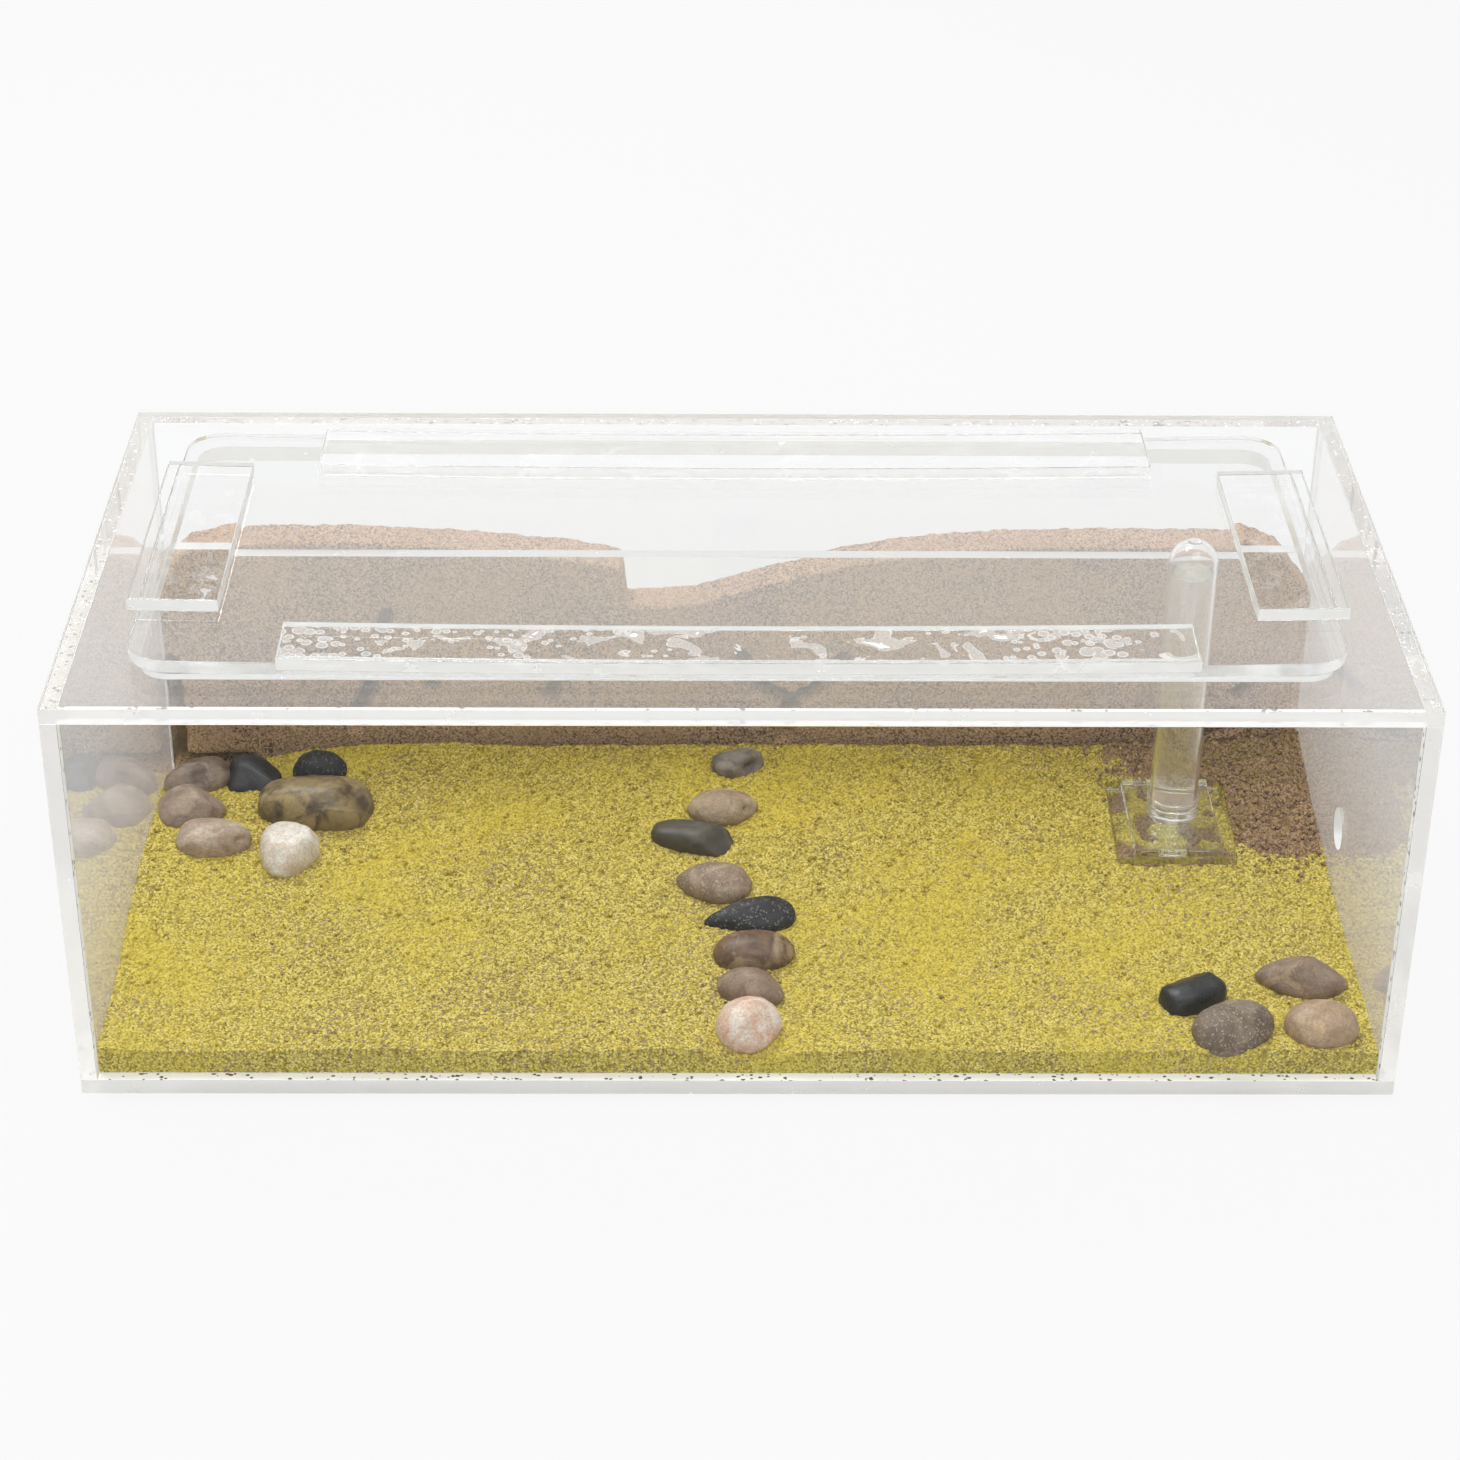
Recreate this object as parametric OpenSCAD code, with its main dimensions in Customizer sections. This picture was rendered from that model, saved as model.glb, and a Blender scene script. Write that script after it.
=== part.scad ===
// Ant habitat: a long clear acrylic box with a sand nest sandwiched between a
// divider and the rear panel, a sand arena with pebbles in front of it, an
// upturned tube feeder, a tube port in the right wall and a lift-off lid.
//
// Frame: millimetres, +X along the box, front towards -Y, +Z up, and the
// origin at the middle of the underside.

/* [Box] */
// Outside length of the box
box_l = 400; // [370:10:460]
// Outside depth of the box, front to back
box_w = 195; // [190:5:230]
// Height of the box without its lid
box_h = 136; // [130:2:170]
// Thickness of the acrylic sheet of the box
sheet_t = 5; // [3:0.5:6]

/* [Access opening and lid] */
// How much shorter the lid is than the box
lid_short = 46; // [40:1:80]
// How much shallower the lid is than the box
lid_narrow = 45; // [43:1:60]
// Thickness of the lid sheet and its strips
lid_t = 4; // [3:0.5:6]
// Radius of the lid's corners
lid_corner = 12; // [8:1:20]
// How much higher the lid's ends stand than its middle, where it has bowed
lid_bow = 2; // [1:0.5:4]
// Lid's middle, left or right of the box's middle
lid_x = -1; // [-3:0.5:3]
// Lid's middle, behind (+) or in front of the box's middle
lid_y = -5.5; // [-8:0.5:-3]
// Width of the ledge that the lid rests on, all round the opening
lid_lap = 3.5; // [2:0.5:8]

/* [Lid strips] */
// Length of the grip on each end of the lid
grip_l = 91; // [60:1:110]
// Width of the grip on each end of the lid
grip_w = 27; // [18:1:36]
// How far each end grip stands out past the lid
grip_overhang = 3; // [1:0.5:6]
// How far the right grip is glued in front of the lid's middle
right_grip_shift = 4; // [0:0.5:8]
// Length of the front strip and the rear strip
strip_l = 265; // [200:5:280]
// Width of the front strip
front_strip_w = 22; // [14:1:30]
// How far the front strip stands out past the lid
front_overhang = 4.5; // [1:0.5:6]
// Width of the rear strip
rear_strip_w = 27.5; // [18:0.5:34]
// How far the rear strip is set in from the lid's rear edge
rear_inset = 2.5; // [0:0.5:6]

/* [Tube port] */
// Diameter of the port in the right wall
port_d = 14; // [10:1:20]
// Port's middle, behind (+) or in front of the box's middle
port_y = -2.5; // [-30:0.5:30]
// Port's middle above the underside of the box
port_z = 36.5; // [34:0.5:60]

/* [Nest] */
// Clear gap between the divider and the rear panel, filled with sand
nest_gap = 14; // [10:1:20]
// Height of the divider above the bottom panel
divider_h = 87; // [80:1:95]
// Depth of the galleries cut into the front of the nest sand
gallery_depth = 6; // [3:0.5:8]
// Width of the galleries
gallery_w = 5; // [3:0.5:7]

/* [Arena] */
// Depth of the arena sand at the front panel
sand_front = 8.6; // [7:0.2:12]
// How much the arena sand rises from the front panel to the divider
sand_rise = 9.4; // [4:0.2:12]
// Height of the sand heap against the left wall
heap_h = 5; // [0:0.5:7]
// Depth of the hollow in the left rear corner
hollow_h = 6; // [0:0.5:7]
// Radius of the patch of dug-out nest sand in the right rear corner
dug_r = 60; // [40:1:62]
// Height of the heap of dug-out nest sand
dug_h = 4; // [1:0.5:8]
// Share of each pebble's height that is sunk in the sand
pebble_sink = 0.4; // [0.3:0.05:0.5]

/* [Feeder] */
// Feeder's middle, in from the right wall
feeder_side = 49; // [45:1:62]
// Feeder's middle, in front of the divider
feeder_back = 44.5; // [41:0.5:53]
// Outside diameter of the feeder tube
tube_d = 16; // [14:0.5:18]
// Wall of the feeder tube
tube_wall = 1.1; // [0.8:0.1:1.6]
// Clear height between the feeder tube's dome and the middle of the closed lid
headroom = 14; // [13:0.5:40]
// Level of the liquid below the top of the dome
air_h = 11; // [10:1:50]
// Length of the foot plate and the dish plate, front to back
plate_l = 44; // [30:1:44]
// Width of the foot plate
foot_w = 39; // [30:1:40]
// Width of the dish plate
dish_w = 29; // [24:1:30]
// Thickness of each of the two plates
plate_t = 3; // [2:0.5:4]
// Radius of the plug's spigot that stands in the dish plate
spigot_r = 5; // [3.5:0.5:5.5]

/* [Hidden] */

acrylic = [0.86, 0.9, 0.9, 0.35];
rest_gap = 0.3;    // between the box and what stands loose on it
running_gap = 0.05;    // all round the plug's spigot
past = 1;    // how far a cutter runs past the face it cuts

inner_l = box_l - 2 * sheet_t;
inner_w = box_w - 2 * sheet_t;
inner_h = box_h - 2 * sheet_t;
front_y = -inner_w / 2;
rear_y = inner_w / 2;
floor_z = sheet_t;
divider_y = rear_y - nest_gap - sheet_t;
arena_w = divider_y - front_y;

lid_l = box_l - lid_short;
lid_w = box_w - lid_narrow;
opening_l = lid_l - 2 * lid_lap;
opening_w = lid_w - 2 * lid_lap;
opening_corner = max(1, lid_corner - lid_lap);
lid_z = box_h + rest_gap;
bow_r = pow(lid_l / 2, 2) / (2 * lid_bow) + lid_bow / 2;
bow_steps = 16;    // flats along the bow, each within 0.01 mm of the true arc
bow_room = 30;    // height of the block that a bowed piece is cut from

// A rectangle with round corners, centred, in the XY plane
module rounded_rect(l, w, r) {
    square([l - 2 * r, w], center = true);
    square([l, w - 2 * r], center = true);
    for (side = [-1, 1], end = [-1, 1])
        translate([side * (l / 2 - r), end * (w / 2 - r)]) circle(r, $fn = 64);
}

// ---------- the glued box ----------

module sheet_block(size, at) {
    translate(at) cube(size);
}

module bottom_panel() {
    color(acrylic) sheet_block([box_l, box_w, sheet_t], [-box_l / 2, -box_w / 2, 0]);
}

module front_panel() {
    color(acrylic) sheet_block([inner_l, sheet_t, inner_h], [-inner_l / 2, -box_w / 2, floor_z]);
}

module rear_panel() {
    color(acrylic) sheet_block([inner_l, sheet_t, inner_h], [-inner_l / 2, rear_y, floor_z]);
}

module left_wall() {
    color(acrylic) sheet_block([sheet_t, box_w, inner_h], [-box_l / 2, -box_w / 2, floor_z]);
}

module right_wall() {
    color(acrylic) difference() {
        sheet_block([sheet_t, box_w, inner_h], [inner_l / 2, -box_w / 2, floor_z]);
        translate([inner_l / 2 - past, port_y, port_z]) rotate([0, 90, 0])
            cylinder(d = port_d, h = sheet_t + 2 * past, $fn = 64);
    }
}

module top_panel() {
    color(acrylic) difference() {
        sheet_block([box_l, box_w, sheet_t], [-box_l / 2, -box_w / 2, box_h - sheet_t]);
        translate([lid_x, lid_y, box_h - sheet_t - past]) linear_extrude(sheet_t + 2 * past)
            rounded_rect(opening_l, opening_w, opening_corner);
    }
}

module nest_divider() {
    color(acrylic) sheet_block([inner_l, sheet_t, divider_h], [-inner_l / 2, divider_y, floor_z]);
}

// ---------- the lid, its ends bowed up ----------

// How much higher the lid stands at x from its middle
function bow(x) = bow_r - sqrt(bow_r * bow_r - x * x);

// What lies between two heights above the lid's underside, over an outline
module bowed(low, high) {
    half = lid_l / 2 + grip_overhang + past;
    step = 2 * half / bow_steps;
    xs = [for (i = [0:bow_steps]) i * step - half];
    intersection() {
        translate([0, 0, lid_z - past]) linear_extrude(bow_room) children();
        translate([lid_x, box_w / 2, lid_z]) rotate([90, 0, 0]) linear_extrude(box_w)
            polygon(concat([for (x = xs) [x, bow(x) + low]],
                [for (i = [bow_steps:-1:0]) [xs[i], bow(xs[i]) + high]]));
    }
}

module lid_sheet() {
    color(acrylic) bowed(0, lid_t) translate([lid_x, lid_y]) rounded_rect(lid_l, lid_w, lid_corner);
}

// A strip glued on the lid, placed by its middle
module lid_strip(l, w, x, y) {
    color(acrylic) bowed(lid_t, 2 * lid_t) translate([lid_x + x, lid_y + y]) square([l, w], center = true);
}

module front_strip() {
    lid_strip(strip_l, front_strip_w, 0, -lid_w / 2 - front_overhang + front_strip_w / 2);
}

module rear_strip() {
    lid_strip(strip_l, rear_strip_w, 0, lid_w / 2 - rear_inset - rear_strip_w / 2);
}

module left_grip() {
    lid_strip(grip_w, grip_l, -lid_l / 2 - grip_overhang + grip_w / 2, 0);
}

module right_grip() {
    lid_strip(grip_w, grip_l, lid_l / 2 + grip_overhang - grip_w / 2, -right_grip_shift);
}

// ---------- nest sand ----------

// Top of the nest sand: [share of half the inner length, share of the divider's height]
nest_top = [[-1, 0.851], [-0.95, 0.954], [-0.84, 1.017], [-0.7, 1.023], [-0.5, 1.006],
    [-0.33, 0.972], [-0.235, 0.94], [-0.2, 0.922], [-0.193, 0.86], [-0.19, 0.76], [-0.13, 0.757],
    [-0.06, 0.776], [0.08, 0.874], [0.22, 0.948], [0.34, 0.989], [0.5, 1.011], [0.7, 1.017],
    [0.88, 1.011], [0.94, 0.954], [1, 0.793]];

// Galleries seen in the front of the nest: each a chain of [share of half the inner length,
// height above the floor]
galleries = [
    [[-0.651, 43], [-0.641, 33], [-0.672, 22]],
    [[-0.533, 41], [-0.538, 33]],
    [[-0.61, 62], [-0.621, 53]],
    [[0.01, 44], [0.046, 34], [0.103, 28], [0.149, 34], [0.19, 43]],
    [[0.1, 26.8], [0.087, 19]],
    [[0.933, 40], [0.892, 31]],
    [[0.821, 19], [0.882, 23]],
    [[-0.308, 38], [-0.328, 30]]
];

function gallery_point(p) = [p[0] * inner_l / 2, p[1]];

// One straight stretch of gallery, a little narrower than the round end it runs to
module gallery_run(a, b) {
    run = b - a;
    translate(b) circle(d = gallery_w, $fn = 24);
    translate(a) rotate(atan2(run[1], run[0])) translate([0, -0.46 * gallery_w])
        square([norm(run), 0.92 * gallery_w]);
}

module nest_sand() {
    top = [for (p = nest_top) [p[0] * inner_l / 2, p[1] * divider_h]];
    color("tan") translate([0, rear_y, floor_z]) rotate([90, 0, 0]) difference() {
        linear_extrude(nest_gap)
            polygon(concat([[inner_l / 2, 0], [-inner_l / 2, 0]], top));
        translate([0, 0, nest_gap - gallery_depth]) linear_extrude(gallery_depth + past) {
            for (chain = galleries)
                translate(gallery_point(chain[0])) circle(d = gallery_w, $fn = 24);
            for (chain = galleries, i = [1:len(chain) - 1])
                gallery_run(gallery_point(chain[i - 1]), gallery_point(chain[i]));
        }
    }
}

// ---------- arena sand ----------

// A round swell that fades out from its middle
function swell(x, y, cx, cy, rx, ry) = exp(-pow((x - cx) / rx, 2) - pow((y - cy) / ry, 2));

heap_size = [24, 34];    // how far the heap at the left wall reaches, along x and y
hollow_size = [34, 22];    // and the hollow in the left rear corner
ripple_h = 0.5;    // height of the surface's slow ripples

// Height of the arena sand's surface at a point
function sand_z(x, y) = floor_z + sand_front
    + sand_rise * pow(max(0, (y - front_y) / arena_w), 2.5)
    + heap_h * swell(x, y, -inner_l / 2, front_y + arena_w / 2, heap_size[0], heap_size[1])
    - hollow_h * swell(x, y, -inner_l / 2, divider_y, hollow_size[0], hollow_size[1])
    + ripple_h * sin(4 * x + 30) * sin(5 * y);

// Height of the dug-out sand's surface, heaped on the arena sand
dug_x = inner_l / 2 + 5;
dug_y = divider_y - 3;
function dug_z(x, y) = sand_z(x, y) + dug_h * swell(x, y, dug_x, dug_y, dug_r / 2, dug_r / 2);

// The bed of sand from the floor to its surface, over the whole arena
module sand_bed() {
    nx = 26;
    ny = 12;
    x0 = -inner_l / 2;
    dx = inner_l / nx;
    dy = arena_w / ny;
    surface = [for (j = [0:ny], i = [0:nx]) let (x = x0 + i * dx, y = front_y + j * dy)
        [x, y, sand_z(x, y)]];
    below = [for (y = [front_y, divider_y], i = [0:nx]) [x0 + i * dx, y, floor_z]];
    row = nx + 1;
    back = ny * row;    // first point of the surface's rear row, then of the floor's two rows
    low = back + row;
    low_back = low + row;
    polyhedron(concat(surface, below), concat(
        [for (j = [0:ny - 1], i = [0:nx - 1]) let (p = j * row + i) [p, p + row, p + 1]],
        [for (j = [0:ny - 1], i = [0:nx - 1]) let (p = j * row + i) [p + 1, p + row, p + row + 1]],
        [for (i = [0:nx - 1]) [low + i, low + i + 1, low_back + i + 1, low_back + i]],
        [for (i = [0:nx - 1]) [i, i + 1, low + i + 1, low + i]],
        [for (i = [0:nx - 1]) [back + i + 1, back + i, low_back + i, low_back + i + 1]],
        [concat([low_back + nx, low + nx], [for (j = [0:ny]) j * row + nx])],
        [concat([low_back], [for (j = [ny:-1:0]) j * row], [low])]));
}

// How far the dug-out sand reaches from the right rear corner, with a ragged edge
function dug_reach(a) = dug_r * (1 + 0.06 * sin(7 * a + 40) + 0.04 * sin(13 * a));

dug_rays = 12;    // angles from the divider round to the right wall
dug_rings = 6;    // steps from the corner out to the edge
dug_floor = floor_z + sand_front / 2;

// A point of the dug-out sand's plan, by ray and ring
function dug_point(i, j) = let (a = 180 + 90 * i / dug_rays, r = dug_reach(a) * j / dug_rings)
    [inner_l / 2 + r * cos(a), divider_y + r * sin(a)];

// The pocket of the arena sand that holds the dug-out sand. Its edge runs on past the divider
// and past the right wall, and the pocket is cut well past the corner.
module dug_pocket() {
    edge = [for (i = [0:dug_rays]) dug_point(i, dug_rings)];
    before = edge[0] + (edge[0] - edge[1]) * 0.3;
    after = edge[dug_rays] + (edge[dug_rays] - edge[dug_rays - 1]) * 0.3;
    translate([0, 0, dug_floor]) linear_extrude(inner_h)
        polygon(concat([[inner_l / 2 + dug_r / 4, divider_y + dug_r / 4], before],
            [for (i = [1:dug_rays - 1]) edge[i]], [after]));
}

// The dug-out sand: a fan of rays from the corner, flat below and heaped above
module dug_heap() {
    n = (dug_rays + 1) * dug_rings;
    plan = [for (i = [0:dug_rays], j = [1:dug_rings]) dug_point(i, j)];
    tip = dug_point(0, 0);
    function at(i, j) = i * dug_rings + j - 1;
    polyhedron(concat([for (p = plan) [p[0], p[1], dug_z(p[0], p[1])]],
            [for (p = plan) [p[0], p[1], dug_floor]],
            [[tip[0], tip[1], dug_z(tip[0], tip[1])], [tip[0], tip[1], dug_floor]]), concat(
        [for (i = [0:dug_rays - 1]) [2 * n, at(i + 1, 1), at(i, 1)]],
        [for (i = [0:dug_rays - 1], j = [1:dug_rings - 1]) [at(i, j), at(i + 1, j), at(i + 1, j + 1)]],
        [for (i = [0:dug_rays - 1], j = [1:dug_rings - 1]) [at(i, j), at(i + 1, j + 1), at(i, j + 1)]],
        [for (i = [0:dug_rays - 1]) [2 * n + 1, n + at(i, 1), n + at(i + 1, 1)]],
        [for (i = [0:dug_rays - 1], j = [1:dug_rings - 1])
            [n + at(i, j), n + at(i + 1, j + 1), n + at(i + 1, j)]],
        [for (i = [0:dug_rays - 1], j = [1:dug_rings - 1])
            [n + at(i, j), n + at(i, j + 1), n + at(i + 1, j + 1)]],
        [for (i = [0:dug_rays - 1]) let (p = at(i, dug_rings), q = at(i + 1, dug_rings))
            [p, q, n + q, n + p]],
        [for (j = [1:dug_rings - 1]) [at(0, j), at(0, j + 1), n + at(0, j + 1), n + at(0, j)]],
        [for (j = [1:dug_rings - 1]) let (p = at(dug_rays, j), q = at(dug_rays, j + 1))
            [q, p, n + p, n + q]],
        [[2 * n, at(0, 1), n + at(0, 1), 2 * n + 1]],
        [[at(dug_rays, 1), 2 * n, 2 * n + 1, n + at(dug_rays, 1)]]));
}

// Room for the feeder's two plates, let into the sand
module plate_pocket() {
    translate([feeder_x, feeder_y, foot_z]) linear_extrude(2 * plate_t + past)
        square([foot_w, plate_l], center = true);
}

module arena_sand() {
    color("khaki") difference() {
        sand_bed();
        dug_pocket();
        plate_pocket();
        for (p = pebbles) pebble_pocket(p);
    }
}

module dug_out_sand() {
    color("tan") difference() {
        dug_heap();
        plate_pocket();
    }
}

// ---------- pebbles ----------

front_margin = 9.5;    // from the front panel to the middle of the frontmost pebble
rear_margin = 13.5;    // from the divider to the middle of the rearmost pebble

// Each pebble: [what x is measured from: -1 left wall, 0 middle, 1 right wall; x; share of the way
// from the frontmost to the rearmost; length, breadth, height, turn, shape, colour]
pebbles = [
    [-1, 11.7, 0.951, 23.5, 16.5, 15, 35, 1, "rosybrown"],
    [-1, 31.4, 0.974, 17.5, 15, 13, -10, 2, "darkslategray"],
    [-1, 53.6, 0.992, 18.5, 14, 13, 0, 3, "darkslategray"],
    [-1, 12.4, 0.818, 22, 17.5, 15.5, 10, 4, "rosybrown"],
    [-1, 22.7, 0.694, 25, 15, 14, 5, 5, "tan"],
    [-1, 54.2, 0.836, 38, 22, 20, -4, 6, "sienna"],
    [-1, 48.6, 0.661, 22, 20, 17.5, 80, 7, "linen"],
    [0, 1, 1, 18.5, 13, 11, 10, 8, "slategray"],
    [0, -4.3, 0.829, 24, 18, 13, 6, 9, "tan"],
    [0, -14.6, 0.713, 28, 13, 11, -16, 10, "darkolivegreen"],
    [0, -7.4, 0.542, 25, 19, 13.5, -10, 11, "peru"],
    [0, 4, 0.416, 30, 15.5, 12, 12, 12, "darkslategray"],
    [0, 5.2, 0.276, 26, 17, 13.5, 4, 13, "sienna"],
    [0, 3.8, 0.143, 22, 15.5, 13.5, -20, 14, "sienna"],
    [0, 3.2, 0.008, 21, 18, 18, 20, 15, "mistyrose"],
    [1, -53.6, 0.122, 22, 14, 12.5, 30, 16, "darkslategray"],
    [1, -43.2, 0.006, 26, 19, 15.5, 12, 17, "slategray"],
    [1, -18.4, 0.187, 29, 16, 12.5, -6, 18, "rosybrown"],
    [1, -16, 0.009, 23, 18, 15.5, 0, 19, "burlywood"]
];

function pebble_x(p) = p[0] * inner_l / 2 + p[1];
function pebble_y(p) = front_y + front_margin + p[2] * (arena_w - front_margin - rear_margin);

pebble_around = 14;    // points round each pebble
pebble_rings = 7;    // steps from its underside to its top
shoulder = 0.312;    // share of its height below the middle at which it narrows

// Height of a pebble's middle
function pebble_z(p) = sand_z(pebble_x(p), pebble_y(p)) + p[5] * (0.5 - pebble_sink);

// How far a pebble reaches from its middle, as a share of its half size
function lump(p, a, b) = 1 + 0.06 * sin(2 * a + 70 * p[7])
    + 0.04 * sin(3 * a + 110 * p[7]) * cos(b);

// A water-worn stone: an oval lump, flattened and dented by its own shape number
module pebble(p) {
    around = pebble_around;
    rings = pebble_rings;
    size = [p[3], p[4], p[5]];
    surface = [for (j = [1:rings - 1], i = [0:around - 1]) let (
            a = 360 * i / around,
            b = 180 * j / rings - 90
        ) [cos(a) * cos(b) * lump(p, a, b) * size[0] / 2,
            sin(a) * cos(b) * lump(p, a, b) * size[1] / 2, sin(b) * size[2] / 2]];
    n = len(surface);
    color(p[8]) translate([pebble_x(p), pebble_y(p), pebble_z(p)]) rotate(p[6])
        polyhedron(concat(surface, [[0, 0, -size[2] / 2], [0, 0, size[2] / 2]]), concat(
            [for (j = [0:rings - 3], i = [0:around - 1]) let (k = (i + 1) % around)
                [j * around + i, (j + 1) * around + i, j * around + k]],
            [for (j = [0:rings - 3], i = [0:around - 1]) let (k = (i + 1) % around)
                [j * around + k, (j + 1) * around + i, (j + 1) * around + k]],
            [for (i = [0:around - 1]) [i, (i + 1) % around, n]],
            [for (i = [0:around - 1]) [n - around + (i + 1) % around, n - around + i, n + 1]]));
}

// The hollow that a pebble has pressed in the sand, from low to high above its middle
module pebble_hollow(p, share, low, high) {
    translate([0, 0, low * p[5]]) linear_extrude((high - low) * p[5])
        polygon([for (i = [0:pebble_around - 1]) let (a = 360 * i / pebble_around)
            [cos(a), sin(a) * p[4] / p[3]] * lump(p, a, 0) * share * p[3] / 2]);
}

module pebble_pocket(p) {
    translate([pebble_x(p), pebble_y(p), pebble_z(p)]) rotate(p[6]) {
        pebble_hollow(p, 0.8, -0.5, 0);
        pebble_hollow(p, 1, -shoulder, 1 - shoulder);
    }
}

// ---------- feeder ----------

feeder_x = inner_l / 2 - feeder_side;
feeder_y = divider_y - feeder_back;
tube_r = tube_d / 2;
bore_r = tube_r - tube_wall;
plug_flange = 1;    // thickness of the plug's flange under the tube's mouth
plug_h = 6;    // how far the plug reaches up into the tube
nozzle_r = 1.6;
rib_r = 0.7;    // radius of the neck's round ribs
rib_pitch = 2.6;
rib_count = 3;
gate_r = 2;    // the moulding mark on the dome
gate_h = 0.4;
foot_z = sand_z(feeder_x, feeder_y) - plate_t / 2;
dish_z = foot_z + plate_t;
mouth_z = dish_z + plate_t + rest_gap + plug_flange;
tube_l = lid_z - headroom - gate_h - mouth_z;

module feeder_foot() {
    color(acrylic) translate([feeder_x, feeder_y, foot_z]) linear_extrude(plate_t)
        square([foot_w, plate_l], center = true);
}

module feeder_dish() {
    color(acrylic) translate([feeder_x, feeder_y, dish_z]) difference() {
        linear_extrude(plate_t) square([dish_w, plate_l], center = true);
        translate([0, 0, -past])
            cylinder(r = spigot_r + running_gap, h = plate_t + 2 * past, $fn = 48);
    }
}

module feeder_tube() {
    straight = tube_l - tube_r;
    color(acrylic) translate([feeder_x, feeder_y, mouth_z]) {
        difference() {
            union() {
                cylinder(r = tube_r, h = straight, $fn = 64);
                translate([0, 0, straight]) sphere(r = tube_r, $fn = 64);
                for (i = [0:rib_count - 1]) translate([0, 0, rib_r + i * rib_pitch])
                    rotate_extrude($fn = 64) translate([tube_r, 0]) circle(rib_r, $fn = 16);
                translate([0, 0, straight]) cylinder(r = gate_r, h = tube_r + gate_h, $fn = 32);
            }
            translate([0, 0, -past]) cylinder(r = bore_r, h = straight + past, $fn = 64);
            translate([0, 0, straight]) sphere(r = bore_r, $fn = 64);
        }
    }
}

module feeder_plug() {
    color("whitesmoke") translate([feeder_x, feeder_y, mouth_z]) difference() {
        union() {
            cylinder(r = bore_r, h = plug_h, $fn = 64);
            translate([0, 0, -plug_flange]) cylinder(r = tube_r, h = plug_flange, $fn = 64);
            translate([0, 0, -plug_flange - plate_t + rest_gap])
                cylinder(r = spigot_r, h = plate_t, $fn = 48);
        }
        translate([0, 0, -plug_flange - plate_t])
            cylinder(r = nozzle_r, h = plug_h + plate_t + 2 * past, $fn = 32);
    }
}

module feeder_liquid() {
    color("lightcyan") translate([feeder_x, feeder_y, mouth_z + plug_h])
        cylinder(r = bore_r, h = tube_l - air_h - plug_h, $fn = 64);
}

bottom_panel();
front_panel();
rear_panel();
left_wall();
right_wall();
top_panel();
nest_divider();
nest_sand();
arena_sand();
dug_out_sand();
feeder_foot();
feeder_dish();
feeder_tube();
feeder_plug();
feeder_liquid();
lid_sheet();
front_strip();
rear_strip();
left_grip();
right_grip();
pebble(pebbles[0]);  // pebble_01
pebble(pebbles[1]);  // pebble_02
pebble(pebbles[2]);  // pebble_03
pebble(pebbles[3]);  // pebble_04
pebble(pebbles[4]);  // pebble_05
pebble(pebbles[5]);  // pebble_06
pebble(pebbles[6]);  // pebble_07
pebble(pebbles[7]);  // pebble_08
pebble(pebbles[8]);  // pebble_09
pebble(pebbles[9]);  // pebble_10
pebble(pebbles[10]);  // pebble_11
pebble(pebbles[11]);  // pebble_12
pebble(pebbles[12]);  // pebble_13
pebble(pebbles[13]);  // pebble_14
pebble(pebbles[14]);  // pebble_15
pebble(pebbles[15]);  // pebble_16
pebble(pebbles[16]);  // pebble_17
pebble(pebbles[17]);  // pebble_18
pebble(pebbles[18]);  // pebble_19
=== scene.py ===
"""Ant habitat: a long clear acrylic box with a sand nest behind a divider, a sand
arena with pebbles and a tube feeder, and a bowed lift-off lid.

Lengths in this script are millimetres until a piece is finished; the scene is in metres.
+X runs along the box towards the tube port, the front faces -Y and the origin is the
middle of the underside.
"""

import math
import random

import bpy
from mathutils import Euler, Matrix, Vector, noise


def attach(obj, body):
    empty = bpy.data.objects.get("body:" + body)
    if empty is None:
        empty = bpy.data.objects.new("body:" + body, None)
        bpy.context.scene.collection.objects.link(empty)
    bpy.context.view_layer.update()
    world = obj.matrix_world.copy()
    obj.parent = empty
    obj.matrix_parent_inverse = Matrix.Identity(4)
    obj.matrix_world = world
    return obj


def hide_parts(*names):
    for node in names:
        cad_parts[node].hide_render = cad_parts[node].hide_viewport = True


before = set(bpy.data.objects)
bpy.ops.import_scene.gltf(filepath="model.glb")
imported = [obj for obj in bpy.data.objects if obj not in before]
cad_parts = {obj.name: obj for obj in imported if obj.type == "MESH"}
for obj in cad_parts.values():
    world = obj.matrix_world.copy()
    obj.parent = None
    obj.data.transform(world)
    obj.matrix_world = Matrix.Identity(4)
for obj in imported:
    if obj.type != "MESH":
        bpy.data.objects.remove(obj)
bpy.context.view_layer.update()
scene = bpy.context.scene

# ---------------------------------------------------------------- sizes, as the solids have them

BOX_L, BOX_W, BOX_H = 400.0, 195.0, 136.0
SHEET = 5.0
INNER_L, FRONT_Y, REAR_Y = 390.0, -92.5, 92.5
DIVIDER_Y = 73.5
ARENA_W = DIVIDER_Y - FRONT_Y
FLOOR_Z = SHEET
NEST_Y = DIVIDER_Y + SHEET
DIVIDER_TOP = FLOOR_Z + 87.0
LID_L, LID_W, LID_T, LID_CORNER = 354.0, 150.0, 4.0, 12.0
LID_X, LID_Y, LID_Z = -1.0, -5.5, BOX_H + 0.3
BOW_R = (LID_L / 2) ** 2 / (2 * 2.0) + 1.0
OPENING = (347.0, 143.0, 8.5)
PORT = (-2.5, 36.5, 7.0)
FEEDER = (146.0, 29.0)
TUBE_R, BORE_R = 8.0, 6.9
GLUE_GAP = 0.04
SAND_GAP = 0.15
SAND_STEP = 0.85
PLATE_T = 3.0
FOOT_HALF, DISH_HALF = (19.5, 22), (14.5, 22)
GLUED_ON = LID_Z + LID_T + 0.03


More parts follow.
